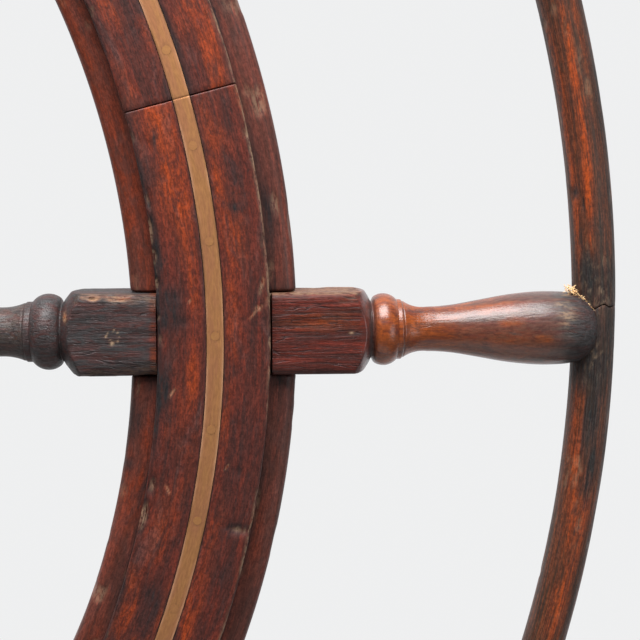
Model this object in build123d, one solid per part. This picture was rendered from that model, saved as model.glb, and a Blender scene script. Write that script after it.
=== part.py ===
"""Ship's steering wheel with ten turned spokes, an outer hoop and a bulkhead bearing.

Millimetres, +Z up.  The wheel turns about the Y axis and its front faces -Y.  The origin is
the centre of the bearing's rear face, the face that is bolted to the bulkhead.  Angles go
anticlockwise as seen from the front, from the spoke at three o'clock.
"""
import os
from math import cos, radians

from build123d import *

# ---- driving dimensions of the wheel ---------------------------------------------------
SPOKES = 10
PITCH = 360 / SPOKES
KING_SPOKE = 3                  # the spoke with turned rings on its handle
KING_RINGS = ((630, 18.0), (638, 19.2), (646, 20.0))    # place of each ring, handle radius there

HOOP_RADIUS = 683.3             # centreline of the outer hoop
HOOP_BAR = 12.0                 # radius of the hoop's round bar
HOOP_PIECES = 5
HOOP_JOINT = 1.0                # angle of the first butt joint, just above a handle

FELLOE_INNER = 430.0
FELLOE_OUTER = 518.0
FELLOE_HALF = 15.0              # half the thickness of the felloes, and of the halved spokes
FELLOE_ROUND = 6.0

FACING_INNER = 444.5
FACING_OUTER = 503.5
FACING_THICK = 11.0
FACING_PIECES = 5
FACING_ARRIS = 1.2
FRONT_JOINT = 15.0              # angle of the first joint in the front facing
REAR_JOINT = 51.0               # the rear joints lie half a piece further round

INLAY_INNER = 470.0
INLAY_OUTER = 479.0
INLAY_DEPTH = 3.0
INLAY_MIDDLE = (INLAY_INNER + INLAY_OUTER) / 2
PIN_PITCH = 6.0                 # degrees between the inlay's pins

BLOCK_HALF = 22.0               # half the side of the spoke's square block
BLOCK_ARRIS = 1.5
HANDLE_END = 682.0
NAVE_RADIUS = 125.0
NAVE_HALF = 38.0
TENON_RADIUS = 13.0
TENON_END = 86.0

WOOD_GAP = 0.5                  # open seam between wooden pieces
SNUG = 0.1                      # radial clearance of pieces that are glued or driven in

# ---- driving dimensions of the hub and the bearing --------------------------------------
JOURNAL_RADIUS = 19.0
RUNNING_CLEARANCE = 0.05
SEAT_RADIUS = 17.0              # shaft inside the hub
THREAD_RADIUS = 13.5
STUB_RADIUS = 16.0              # shaft behind the bulkhead
STUB_LENGTH = 80.0
BULKHEAD_ROOM = 12.0            # journal length left behind the bearing

HOUSING_LENGTH = 84.0
HOUSING_RADIUS = 44.0
FLANGE_RADIUS = 90.0
FLANGE_THICK = 18.0
FLANGE_BOLTS = 6
FLANGE_BOLT_CIRCLE = 72.0
FLANGE_BOLT_HOLE = 6.5
RECESS_RADIUS = 31.0
RECESS_DEPTH = 22.0
SLEEVE_RADIUS = 26.0
SLEEVE_FLANGE_RADIUS = 38.0
SLEEVE_FLANGE = 5.0
SLEEVE_SCREW_CIRCLE = 32.0
AXIAL_PLAY = 0.5
OIL_PLACE = -52.0               # place of the oil cup along the spin axis
OIL_BORE = 2.0                  # radius of the passage down to the journal
CUP_SPIGOT = 5.0
COLLAR_RADIUS = 28.0
COLLAR_WIDTH = 18.0

BOSS_RADIUS = 30.0
BOSS_FLANGE_RADIUS = 86.0
BOSS_FLANGE = 8.0
BOSS_PROUD = 2.0
PLATE_RADIUS = 95.0
PLATE_THICK = 6.0
HUB_BOLTS = 5
HUB_BOLT_CIRCLE = 76.0
HUB_BOLT_RADIUS = 5.0
HEX_FLATS = 17.0
KEY_WIDTH = 10.0
KEY_HEIGHT = 8.0
CAP_RADIUS = 62.0
CAP_SCREWS = 6
CAP_SCREW_CIRCLE = 54.0

# ---- places along the spin axis, from the bulkhead forwards ------------------------------
SLEEVE_FRONT = -(HOUSING_LENGTH + SLEEVE_FLANGE)
BOSS_REAR = SLEEVE_FRONT - AXIAL_PLAY
REAR_PLATE_REAR = BOSS_REAR - BOSS_FLANGE
NAVE_REAR = REAR_PLATE_REAR - PLATE_THICK
MIDDLE = NAVE_REAR - NAVE_HALF
NAVE_FRONT = MIDDLE - NAVE_HALF
PLATE_FRONT = NAVE_FRONT - PLATE_THICK
BOSS_FRONT = PLATE_FRONT - BOSS_PROUD
WASHER_THICK = 4.0
NUT_THICK = 22.0
NUT_FRONT = BOSS_FRONT - WASHER_THICK - NUT_THICK
SHAFT_FRONT = NUT_FRONT - 5.0
FACING_FRONT = MIDDLE - FELLOE_HALF - FACING_THICK
FACING_REAR = MIDDLE + FELLOE_HALF + FACING_THICK


# ---- small helpers ---------------------------------------------------------------------
def turn(shape, degrees):
    """The shape turned anticlockwise about the spin axis, as seen from the front."""
    return Rot(0, -degrees, 0) * shape


def rod_y(radius, start, end, x=0.0, z=0.0):
    """A round rod parallel to the spin axis, between two places along it."""
    return Pos(x, (start + end) / 2, z) * Rot(90, 0, 0) * Cylinder(radius, abs(end - start))


def rod_x(radius, start, end, y=0.0, z=0.0):
    """A round rod parallel to the X axis."""
    return Pos((start + end) / 2, y, z) * Rot(0, 90, 0) * Cylinder(radius, abs(end - start))


def hex_y(flats, start, end, x=0.0, z=0.0):
    """A hexagonal bar parallel to the spin axis."""
    section = RegularPolygon(flats / 2 / cos(radians(30)), 6)
    bar = extrude(section, abs(end - start))
    return Pos(x, min(start, end), z) * Rot(-90, 0, 0) * bar


def ring_part(section, start, end):
    """The section, drawn with its radius along X, swept round the spin axis."""
    return turn(revolve(section, Axis.Y, end - start), end)


def turned_y(points):
    """A solid of revolution about the spin axis through (radius, place) points."""
    return revolve(make_face(Polyline(*points, close=True)), Axis.Y)


def around(shape, count, start=0.0):
    """Copies of one shape at equal angles about the spin axis."""
    return [turn(shape, start + index * 360 / count) for index in range(count)]


def countersunk(head_radius, shank_radius, length, grow=0.0):
    """A screw along +Y with the top of its head at the origin; grow makes its hole."""
    head = head_radius + grow
    shank = shank_radius + grow
    cone = head - shank
    tip = length + 4 * grow
    points = [(0, 0), (head, 0), (shank, cone), (shank, tip - shank), (0, tip)]
    screw = turned_y(points)
    if grow:
        return screw
    slot = Box(2.5 * head_radius, cone, 0.24 * head_radius)
    return screw - slot


def group(shapes):
    """Separate solids kept together in one node."""
    return Compound(children=list(shapes))


# ---- fastener places -------------------------------------------------------------------
FRONT_SCREWS = (-1.6, 1.6, 13.6, 16.4)       # degrees from each spoke
REAR_SCREWS = (0.0, 11.8, 18.2, 27.0)
FACING_SCREW = (4.75, 2.5, 28.0)
HOOP_SCREW = (5.2, 2.8, 48.0)
HOOP_SCREW_OFFSET = -8.0        # across the handle, clear of the hoop's joint
DOWEL_RADIUS = 5.0
DOWEL_HALF = 46.0
DOWEL_CIRCLES = (451.0, 497.0)
HOOP_DOWEL_RADIUS = 4.0
HOOP_DOWEL_HALF = 20.0
HOOP_DOWEL_CENTRE = 1.43        # degrees from the handle, most of it above the joint
PIN_HEAD_RADIUS = 2.25
PIN_SHANK_RADIUS = 1.3
PIN_LENGTH = 14.0


def front_screw(degrees, grow=0.0):
    """A screw through the front facing, its head hidden under the brass strip."""
    screw = countersunk(*FACING_SCREW, grow=grow)
    return turn(Pos(INLAY_MIDDLE, FACING_FRONT + INLAY_DEPTH, 0) * screw, degrees)


def rear_screw(degrees, grow=0.0):
    """A screw through the rear facing, its head flush with the face."""
    screw = Rot(180, 0, 0) * countersunk(*FACING_SCREW, grow=grow)
    return turn(Pos(INLAY_MIDDLE, FACING_REAR, 0) * screw, degrees)


def hoop_screw(degrees, grow=0.0):
    """A screw driven from outside through the hoop into the end of a handle."""
    screw = Rot(0, 0, 90) * countersunk(*HOOP_SCREW, grow=grow)
    place = Pos(HOOP_RADIUS + HOOP_BAR - 1.5, MIDDLE, HOOP_SCREW_OFFSET)
    return turn(place * screw, degrees)


def inlay_pin(degrees, grow=0.0):
    """A brass pin with a flush head that nails the strip down."""
    head = rod_y(PIN_HEAD_RADIUS + grow, FACING_FRONT, FACING_FRONT + INLAY_DEPTH)
    shank = rod_y(PIN_SHANK_RADIUS + grow, FACING_FRONT, FACING_FRONT + PIN_LENGTH + grow)
    return turn(Pos(INLAY_MIDDLE, 0, 0) * (head + shank), degrees)


def felloe_dowel(radius, degrees, grow=0.0):
    """A dowel that runs through a spoke's block and into the felloes on both sides."""
    dowel = Cylinder(DOWEL_RADIUS + grow, 2 * (DOWEL_HALF + grow))
    return turn(Pos(radius, MIDDLE, 0) * dowel, degrees)


def hoop_dowel(degrees, grow=0.0):
    """A dowel along the hoop's bar, across the butt joint of two pieces."""
    dowel = Cylinder(HOOP_DOWEL_RADIUS + grow, 2 * (HOOP_DOWEL_HALF + grow))
    return turn(Pos(HOOP_RADIUS, MIDDLE, 0) * dowel, degrees + HOOP_DOWEL_CENTRE)


# ---- spokes ----------------------------------------------------------------------------
def spoke_outline():
    """Half of the turned outline: radius from the hub along X, thickness along Y."""
    big = 1.43 * BLOCK_HALF     # past the corners of the block
    inner_swell = [(172, 12.8), (204, 17.2), (240, 19.4), (300, 16.6), (358, 13.4)]
    handle = [(590, 12.4), (617, 15.6), (657, 20.4), (671.5, 19.3), (HANDLE_END, 15.2)]
    return [
        Line((TENON_END, 0), (TENON_END, TENON_RADIUS)),
        Line((TENON_END, TENON_RADIUS), (118, TENON_RADIUS)),
        Line((118, TENON_RADIUS), (118, 19)),
        Line((118, 19), (140, 19)),
        Line((140, 19), (142, 16.6)),
        ThreePointArc((142, 16.6), (149, 20.2), (156, 16.6)),
        Line((156, 16.6), (159.5, 16.4)),
        ThreePointArc((159.5, 16.4), (164.5, 13.9), (172, 12.8)),
        Spline(inner_swell, tangents=[(1, 0), (1, 0)]),
        ThreePointArc((358, 13.4), (367.3, 14.1), (373.2, 16.1)),
        Line((373.2, 16.1), (376.6, 16.4)),
        ThreePointArc((376.6, 16.4), (385.4, 20.6), (392, 17.6)),
        Line((392, 17.6), (393.6, 17.4)),
        ThreePointArc((393.6, 17.4), (397.3, 22), (404.6, big)),
        Line((404.6, big), (546.6, big)),
        ThreePointArc((546.6, big), (554.9, 22), (557.8, 17.6)),
        Line((557.8, 17.6), (559.4, 17.4)),
        ThreePointArc((559.4, 17.4), (565.4, 19.8), (572.8, 16.6)),
        Line((572.8, 16.6), (575.4, 16.4)),
        ThreePointArc((575.4, 16.4), (580.6, 13.5), (590, 12.4)),
        Spline(handle, tangents=[(1, 0), (1, -0.75)]),
        Line((HANDLE_END, 15.2), (HANDLE_END, 0)),
        Line((HANDLE_END, 0), (TENON_END, 0)),
    ]


def spoke_block():
    """The square stock that leaves flats where the outline is wider than it."""
    length = HANDLE_END + 10
    stock = Pos(length / 2, 0, 0) * Box(length, 2 * BLOCK_HALF, 2 * BLOCK_HALF)
    return fillet(stock.edges().filter_by(Axis.X), BLOCK_ARRIS)


def facing_notches():
    """The two half-laps that let the facings pass over the spoke."""
    inner = FACING_INNER - WOOD_GAP
    outer = FACING_OUTER + WOOD_GAP
    depth = BLOCK_HALF - FELLOE_HALF + 5
    centre = Pos((inner + outer) / 2, FELLOE_HALF + depth / 2)
    ring = revolve(centre * Rectangle(outer - inner, depth), Axis.Y)
    return ring + mirror(ring, Plane.XZ)


def make_spoke(is_king):
    """A spoke along +X, with its laps, its saddle for the hoop and its fastener holes."""
    spoke = revolve(make_face(spoke_outline()), Axis.X) & spoke_block()
    spoke -= facing_notches()
    spoke -= rod_y(NAVE_RADIUS, -NAVE_HALF, NAVE_HALF) - rod_x(TENON_RADIUS, 0, 2 * NAVE_RADIUS)
    saddle = Pos(HOOP_RADIUS, 0) * Circle(HOOP_BAR + SNUG)
    spoke -= revolve(saddle, Axis.Y)
    if is_king:
        for place, radius in KING_RINGS:
            groove = Pos(place, radius + 0.4) * Circle(1.7)
            spoke -= revolve(groove, Axis.X)
    spoke = Pos(0, MIDDLE, 0) * spoke
    for degrees in FRONT_SCREWS[:2]:
        spoke -= front_screw(degrees, SNUG)
    spoke -= rear_screw(REAR_SCREWS[0], SNUG)
    spoke -= hoop_screw(0, SNUG)
    for radius in DOWEL_CIRCLES:
        spoke -= felloe_dowel(radius, 0, SNUG)
    return spoke - inlay_pin(0, SNUG)


# ---- rim -------------------------------------------------------------------------------
def make_felloe():
    """The rim piece between spokes 1 and 2, its ends cut to the sides of the blocks."""
    centre = Pos((FELLOE_INNER + FELLOE_OUTER) / 2, MIDDLE)
    section = centre * RectangleRounded(FELLOE_OUTER - FELLOE_INNER, 2 * FELLOE_HALF, FELLOE_ROUND)
    felloe = ring_part(section, 0, PITCH)
    side = BLOCK_HALF + WOOD_GAP / 2
    room = Pos(FELLOE_OUTER / 2, MIDDLE, 0) * Box(1.2 * FELLOE_OUTER, 3 * FELLOE_HALF, 2 * side)
    for degrees in (0, PITCH):
        felloe -= turn(room, degrees)
        for radius in DOWEL_CIRCLES:
            felloe -= felloe_dowel(radius, degrees, SNUG)
    for degrees in FRONT_SCREWS[2:]:
        felloe -= front_screw(degrees, SNUG)
    for degrees in REAR_SCREWS[1:]:
        felloe -= rear_screw(degrees, SNUG)
    for index in range(1, round(PITCH / PIN_PITCH)):
        felloe -= inlay_pin(index * PIN_PITCH, SNUG)
    return felloe


def facing_section():
    """The cross-section of a facing piece, with its outer face towards -Y from zero."""
    width = FACING_OUTER - FACING_INNER
    board = Pos((FACING_INNER + FACING_OUTER) / 2, FACING_THICK / 2) * Rectangle(width, FACING_THICK)
    return fillet(board.vertices().group_by(Axis.Y)[0], FACING_ARRIS)


def holes_between(places, cutter, start, end):
    """Cutters at the places of every spoke that fall between two angles."""
    cutters = []
    for index in range(-1, SPOKES + 1):
        for place in places:
            degrees = index * PITCH + place
            if start < degrees < end:
                cutters.append(cutter(degrees, SNUG))
    return cutters


def make_front_facing():
    """One curved board of the front facing, grooved for the brass strip."""
    groove_width = INLAY_OUTER - INLAY_INNER + 2 * SNUG
    groove = Pos(INLAY_MIDDLE, INLAY_DEPTH / 2) * Rectangle(groove_width, INLAY_DEPTH)
    section = Pos(0, FACING_FRONT) * (facing_section() - groove)
    gap = 0.02
    start = FRONT_JOINT
    end = start + 360 / FACING_PIECES
    piece = ring_part(section, start + gap, end - gap)
    for cutter in holes_between(FRONT_SCREWS, front_screw, start, end):
        piece -= cutter
    pin_places = [index * PIN_PITCH for index in range(round(PITCH / PIN_PITCH))]
    for cutter in holes_between(pin_places, inlay_pin, start, end):
        piece -= cutter
    return piece


def make_rear_facing():
    """One curved board of the rear facing."""
    section = Pos(0, FACING_REAR) * mirror(facing_section(), Plane.XZ)
    gap = 0.02
    start = REAR_JOINT
    end = start + 360 / FACING_PIECES
    piece = ring_part(section, start + gap, end - gap)
    for cutter in holes_between(REAR_SCREWS, rear_screw, start, end):
        piece -= cutter
    return piece


def make_inlay_strip():
    """One of the brass strips let into the front facing."""
    centre = Pos(INLAY_MIDDLE, FACING_FRONT + INLAY_DEPTH / 2)
    section = centre * Rectangle(INLAY_OUTER - INLAY_INNER, INLAY_DEPTH)
    gap = 0.01
    start = FRONT_JOINT
    end = start + 360 / FACING_PIECES
    strip = ring_part(section, start + gap, end - gap)
    pin_places = [index * PIN_PITCH for index in range(round(PITCH / PIN_PITCH))]
    for cutter in holes_between(pin_places, inlay_pin, start, end):
        strip -= cutter
    return strip


def make_hoop_piece():
    """One round bar of the outer hoop, bored for its screws and end dowels."""
    section = Pos(HOOP_RADIUS, MIDDLE) * Circle(HOOP_BAR)
    gap = 0.02
    span = 360 / HOOP_PIECES
    piece = ring_part(section, HOOP_JOINT + gap, HOOP_JOINT + span - gap)
    piece -= hoop_screw(PITCH, SNUG)
    piece -= hoop_screw(2 * PITCH, SNUG)
    piece -= hoop_dowel(0, SNUG)
    return piece - hoop_dowel(span, SNUG)


# ---- hub -------------------------------------------------------------------------------
def hub_bolt_holes(start, end):
    """Clearance holes for the hub bolts, between two places along the spin axis."""
    hole = rod_y(HUB_BOLT_RADIUS + 0.25, start, end, x=HUB_BOLT_CIRCLE)
    return around(hole, HUB_BOLTS, PITCH / 2)


def make_nave():
    """The wooden centre that the spokes are tenoned into."""
    bore = BOSS_RADIUS + SNUG
    length = 2 * NAVE_HALF
    body = Rectangle(NAVE_RADIUS - bore, length)
    body = fillet(body.vertices().group_by(Axis.X)[-1], 5)
    section = Pos((bore + NAVE_RADIUS) / 2, MIDDLE) * body
    for side in (-1, 1):
        section -= Pos(NAVE_RADIUS, MIDDLE + side * 24) * Circle(1.6)
        section -= Pos(NAVE_RADIUS - 14, MIDDLE + side * NAVE_HALF) * Circle(2.2)
    nave = revolve(section, Axis.Y)
    mortise = rod_x(TENON_RADIUS + SNUG, TENON_END - 1, NAVE_RADIUS + 5, y=MIDDLE)
    for cutter in around(mortise, SPOKES) + hub_bolt_holes(NAVE_FRONT - 1, NAVE_REAR + 1):
        nave -= cutter
    return nave


def make_hub_plate(rear, front):
    """A brass plate on a face of the nave; front is the face turned away from the nave."""
    plate = rod_y(PLATE_RADIUS, rear, front)
    shown = plate.edges().filter_by(GeomType.CIRCLE).filter_by_position(Axis.Y, front - 0.1, front + 0.1)
    plate = fillet(shown, 2)
    plate -= rod_y(BOSS_RADIUS + SNUG, rear - 10, rear + 10)
    for cutter in hub_bolt_holes(rear - 10, rear + 10):
        plate -= cutter
    return plate


def make_front_plate():
    """The front hub plate, tapped for the cap's screws."""
    plate = make_hub_plate(NAVE_FRONT, PLATE_FRONT)
    for cutter in cap_screw_places(rod_y(2.1, PLATE_FRONT - 1, NAVE_FRONT + 1)):
        plate -= cutter
    return plate


def make_boss():
    """The flanged brass boss that carries the nave and is keyed to the shaft."""
    boss = rod_y(BOSS_RADIUS, BOSS_FRONT, BOSS_REAR)
    boss += rod_y(BOSS_FLANGE_RADIUS, BOSS_REAR - BOSS_FLANGE, BOSS_REAR)
    boss -= rod_y(SEAT_RADIUS + 0.02, BOSS_FRONT - 1, BOSS_REAR + 1)
    boss -= key_block(0.05, 40)
    for cutter in hub_bolt_holes(BOSS_REAR - BOSS_FLANGE - 1, BOSS_REAR + 1):
        boss -= cutter
    return boss


def key_block(grow=0.0, extra=0.0):
    """The shaft key, half sunk in the seat; extra lengthens it to cut the keyway."""
    length = 64 + extra
    width = KEY_WIDTH + 2 * grow
    height = KEY_HEIGHT + 2 * grow
    return Pos(0, MIDDLE, SEAT_RADIUS) * Box(width, length + 2 * grow, height)


def make_shaft():
    """The shaft from the nut at the front to the keyed stub behind the bulkhead."""
    stub_start = BULKHEAD_ROOM
    stub_end = BULKHEAD_ROOM + STUB_LENGTH
    chamfer_size = 1.5
    points = [
        (0, SHAFT_FRONT),
        (THREAD_RADIUS - chamfer_size, SHAFT_FRONT),
        (THREAD_RADIUS, SHAFT_FRONT + chamfer_size),
        (THREAD_RADIUS, BOSS_FRONT + 3),
        (SEAT_RADIUS, BOSS_FRONT + 3),
        (SEAT_RADIUS, BOSS_REAR),
        (JOURNAL_RADIUS, BOSS_REAR),
        (JOURNAL_RADIUS, stub_start),
        (STUB_RADIUS, stub_start),
        (STUB_RADIUS, stub_end - chamfer_size),
        (STUB_RADIUS - chamfer_size, stub_end),
        (0, stub_end),
    ]
    shaft = turned_y(points) - key_block(0.05)
    keyway = Pos(0, stub_end - 25, STUB_RADIUS) * Box(8, 50, 8)
    return shaft - keyway


def cap_screw_places(shape):
    """Copies of the shape at the six cap screws."""
    return around(Pos(CAP_SCREW_CIRCLE, 0, 0) * shape, CAP_SCREWS, 90)


def make_cap():
    """The hollow turned cover over the shaft nut."""
    base = PLATE_FRONT
    flange = 4.0
    height = 46.0
    wall = 3.5
    button = 7.0
    outer = [
        Line((36, base), (CAP_RADIUS, base)),
        Line((CAP_RADIUS, base), (CAP_RADIUS, base - flange + 1.5)),
        Line((CAP_RADIUS, base - flange + 1.5), (CAP_RADIUS - 1.5, base - flange)),
        Line((CAP_RADIUS - 1.5, base - flange), (46, base - flange)),
        ThreePointArc((46, base - flange), (42.5, base - flange - 2.5), (42, base - flange - 7)),
        ThreePointArc((42, base - flange - 7), (44.5, base - flange - 9.5), (42, base - flange - 12)),
        ThreePointArc((42, base - flange - 12), (30, base - height + 8), (button, base - height)),
        Line((button, base - height), (button - 1, base - height - 3)),
        Line((button - 1, base - height - 3), (0, base - height - 3)),
        Line((0, base - height - 3), (0, base - height + wall)),
        Line((0, base - height + wall), (button, base - height + wall)),
        ThreePointArc((button, base - height + wall), (27.5, base - height + 12), (36, base - 16)),
        Line((36, base - 16), (36, base)),
    ]
    cap = revolve(make_face(outer), Axis.Y)
    hole = Pos(0, base - flange, 0) * countersunk(4.4, 2.0, 12.0, SNUG)
    for cutter in cap_screw_places(hole):
        cap -= cutter
    return cap


# ---- bearing ---------------------------------------------------------------------------
def sleeve_screws(grow=0.0):
    """The three screws that hold the sleeve; grow makes their holes."""
    screw = Pos(SLEEVE_SCREW_CIRCLE, SLEEVE_FRONT, 0) * countersunk(4.2, 2.2, 18.0, grow)
    return around(screw, 3, 30)


def make_housing():
    """The flanged bronze housing that is bolted to the bulkhead."""
    front = -HOUSING_LENGTH
    fillet_radius = 10
    corner = (HOUSING_RADIUS + fillet_radius, -FLANGE_THICK)
    bend = (HOUSING_RADIUS + 0.293 * fillet_radius, -FLANGE_THICK - 0.293 * fillet_radius)
    outline = [
        Line((SLEEVE_RADIUS, front), (HOUSING_RADIUS - 2, front)),
        Line((HOUSING_RADIUS - 2, front), (HOUSING_RADIUS, front + 2)),
        Line((HOUSING_RADIUS, front + 2), (HOUSING_RADIUS, corner[1] - fillet_radius)),
        ThreePointArc((HOUSING_RADIUS, corner[1] - fillet_radius), bend, corner),
        Line(corner, (FLANGE_RADIUS - 3, -FLANGE_THICK)),
        Line((FLANGE_RADIUS - 3, -FLANGE_THICK), (FLANGE_RADIUS, -FLANGE_THICK + 3)),
        Line((FLANGE_RADIUS, -FLANGE_THICK + 3), (FLANGE_RADIUS, 0)),
        Line((FLANGE_RADIUS, 0), (RECESS_RADIUS, 0)),
        Line((RECESS_RADIUS, 0), (RECESS_RADIUS, -RECESS_DEPTH)),
        Line((RECESS_RADIUS, -RECESS_DEPTH), (SLEEVE_RADIUS, -RECESS_DEPTH)),
        Line((SLEEVE_RADIUS, -RECESS_DEPTH), (SLEEVE_RADIUS, front)),
    ]
    housing = revolve(make_face(outline), Axis.Y)
    bolt_hole = rod_y(FLANGE_BOLT_HOLE, -FLANGE_THICK - 1, 1, x=FLANGE_BOLT_CIRCLE)
    for cutter in around(bolt_hole, FLANGE_BOLTS, 30) + sleeve_screws(SNUG):
        housing -= cutter
    return housing - oil_passage(CUP_SPIGOT + SNUG, HOUSING_RADIUS - 10) - oil_passage(OIL_BORE, 0)


def oil_passage(radius, bottom):
    """A hole down from the top of the housing towards the shaft."""
    height = HOUSING_RADIUS + 5 - bottom
    return Pos(0, OIL_PLACE, bottom + height / 2) * Cylinder(radius, height)


def make_sleeve():
    """The flanged bronze sleeve that the shaft runs in."""
    sleeve = rod_y(SLEEVE_RADIUS, SLEEVE_FRONT, -RECESS_DEPTH)
    sleeve += rod_y(SLEEVE_FLANGE_RADIUS, SLEEVE_FRONT, -HOUSING_LENGTH)
    sleeve -= rod_y(JOURNAL_RADIUS + RUNNING_CLEARANCE, SLEEVE_FRONT - 1, 0)
    for cutter in sleeve_screws(SNUG):
        sleeve -= cutter
    return sleeve - oil_passage(OIL_BORE, 0)


def make_oil_cup():
    """A brass oil cup with a screwed spigot and a domed lid."""
    top = HOUSING_RADIUS
    outline = [
        Line((1.5, top - 9), (CUP_SPIGOT, top - 9)),
        Line((CUP_SPIGOT, top - 9), (CUP_SPIGOT, top + 7)),
        Line((CUP_SPIGOT, top + 7), (9, top + 10)),
        Line((9, top + 10), (9, top + 22)),
        Line((9, top + 22), (10, top + 22)),
        Line((10, top + 22), (10, top + 25)),
        ThreePointArc((10, top + 25), (7.2, top + 28.3), (2, top + 29.5)),
        Line((2, top + 29.5), (0, top + 29.5)),
        Line((0, top + 29.5), (0, top + 24)),
        Line((0, top + 24), (7, top + 24)),
        Line((7, top + 24), (7, top + 12)),
        Line((7, top + 12), (1.5, top + 8)),
        Line((1.5, top + 8), (1.5, top - 9)),
    ]
    profile = Rot(90, 0, 0) * make_face(outline)
    cup = revolve(profile, Axis.Z)
    nut = Pos(0, 0, top) * extrude(RegularPolygon(8, 6), 5) - Cylinder(4.9, 3 * top)
    return Pos(0, OIL_PLACE, 0) * (cup + nut)


COLLAR_FRONT = -RECESS_DEPTH + AXIAL_PLAY
COLLAR_MIDDLE = COLLAR_FRONT + COLLAR_WIDTH / 2


def make_collar():
    """The set collar that keeps the shaft from moving forwards."""
    collar = rod_y(COLLAR_RADIUS, COLLAR_FRONT, COLLAR_FRONT + COLLAR_WIDTH)
    collar -= rod_y(JOURNAL_RADIUS + 0.02, COLLAR_FRONT - 10, COLLAR_FRONT + COLLAR_WIDTH + 10)
    return collar - collar_screw(SNUG)


def collar_screw(grow=0.0):
    """The set screw's blank, from just off the shaft to just below the collar's rim."""
    bottom = JOURNAL_RADIUS + 0.1 - grow
    top = COLLAR_RADIUS - 0.5 + grow
    return Pos(0, COLLAR_MIDDLE, (bottom + top) / 2) * Cylinder(4 + grow, top - bottom)


def make_collar_screw():
    socket = Pos(0, COLLAR_MIDDLE, 24.5) * extrude(RegularPolygon(2.3, 6), 5)
    return collar_screw() - socket


# ---- the nodes -------------------------------------------------------------------------
def spoke_name(number):
    if number == KING_SPOKE:
        return "king_spoke"
    return f"spoke_{number:02d}"


def build_nodes():
    nodes = {}
    plain_spoke = make_spoke(False)
    king_spoke = make_spoke(True)
    felloe = make_felloe()
    for index in range(SPOKES):
        number = index + 1
        spoke = king_spoke if number == KING_SPOKE else plain_spoke
        nodes[spoke_name(number)] = turn(spoke, index * PITCH)
        nodes[f"felloe_{number:02d}"] = turn(felloe, index * PITCH)

    front_facing = make_front_facing()
    rear_facing = make_rear_facing()
    for index, degrees in enumerate(range(0, 360, 360 // FACING_PIECES)):
        nodes[f"front_facing_{index + 1}"] = turn(front_facing, degrees)
        nodes[f"rear_facing_{index + 1}"] = turn(rear_facing, degrees)
    hoop_piece = make_hoop_piece()
    for index, degrees in enumerate(range(0, 360, 360 // HOOP_PIECES)):
        nodes[f"hoop_{index + 1}"] = turn(hoop_piece, degrees)

    nodes["brass_inlay"] = group(around(make_inlay_strip(), FACING_PIECES))
    nodes["inlay_pins"] = group(around(inlay_pin(0), round(360 / PIN_PITCH)))
    spoke_angles = [index * PITCH for index in range(SPOKES)]
    nodes["front_facing_screws"] = group(
        front_screw(angle + place) for angle in spoke_angles for place in FRONT_SCREWS)
    nodes["rear_facing_screws"] = group(
        rear_screw(angle + place) for angle in spoke_angles for place in REAR_SCREWS)
    nodes["felloe_dowels"] = group(
        felloe_dowel(radius, angle) for angle in spoke_angles for radius in DOWEL_CIRCLES)
    nodes["hoop_screws"] = group(hoop_screw(angle) for angle in spoke_angles)
    nodes["hoop_dowels"] = group(around(hoop_dowel(0), HOOP_PIECES))

    nodes["nave"] = make_nave()
    nodes["front_hub_plate"] = make_front_plate()
    nodes["rear_hub_plate"] = make_hub_plate(NAVE_REAR, REAR_PLATE_REAR)
    nodes["hub_boss"] = make_boss()
    nodes["hub_key"] = key_block()
    bolt_end = BOSS_REAR + 12
    bolt = hex_y(HEX_FLATS, PLATE_FRONT - 7, PLATE_FRONT, x=HUB_BOLT_CIRCLE)
    bolt += rod_y(HUB_BOLT_RADIUS, PLATE_FRONT - 1, bolt_end, x=HUB_BOLT_CIRCLE)
    nodes["hub_bolts"] = group(around(bolt, HUB_BOLTS, PITCH / 2))
    nut = hex_y(HEX_FLATS, BOSS_REAR, BOSS_REAR + 9, x=HUB_BOLT_CIRCLE)
    nut -= rod_y(HUB_BOLT_RADIUS + 0.02, BOSS_REAR - 1, bolt_end, x=HUB_BOLT_CIRCLE)
    nodes["hub_nuts"] = group(around(nut, HUB_BOLTS, PITCH / 2))

    nodes["wheel_shaft"] = make_shaft()
    nodes["shaft_washer"] = rod_y(26, BOSS_FRONT - WASHER_THICK, BOSS_FRONT) \
        - rod_y(THREAD_RADIUS + 0.3, BOSS_FRONT - 10, BOSS_FRONT + 1)
    nodes["shaft_nut"] = hex_y(41, NUT_FRONT, NUT_FRONT + NUT_THICK) \
        - rod_y(THREAD_RADIUS + 0.02, NUT_FRONT - 1, BOSS_FRONT)
    nodes["hub_cap"] = make_cap()
    cap_screw = Pos(0, PLATE_FRONT - 4.0, 0) * countersunk(4.4, 2.0, 9.8)
    nodes["hub_cap_screws"] = group(cap_screw_places(cap_screw))
    nodes["retaining_collar"] = make_collar()
    nodes["collar_screw"] = make_collar_screw()

    nodes["bearing_housing"] = make_housing()
    nodes["bearing_sleeve"] = make_sleeve()
    nodes["sleeve_screws"] = group(sleeve_screws())
    nodes["oil_cup"] = make_oil_cup()
    return nodes


os.makedirs("parts", exist_ok=True)
for name, shape in build_nodes().items():
    export_step(shape, f"parts/{name}.step")
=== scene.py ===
"""The looks of the ship's wheel: worn mahogany, varnished handles, a brass strip and hub.

Lengths are millimetres, except for the floor, the lights and the camera, which are in metres
like the finished meshes. Each wooden piece is made in its own local frame, with X along the
radius through its middle, Y along the spin axis (minus is the front) and Z round the wheel.
"""
import math
from types import SimpleNamespace

import bpy
import numpy as np
from mathutils import Matrix, Vector


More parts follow.
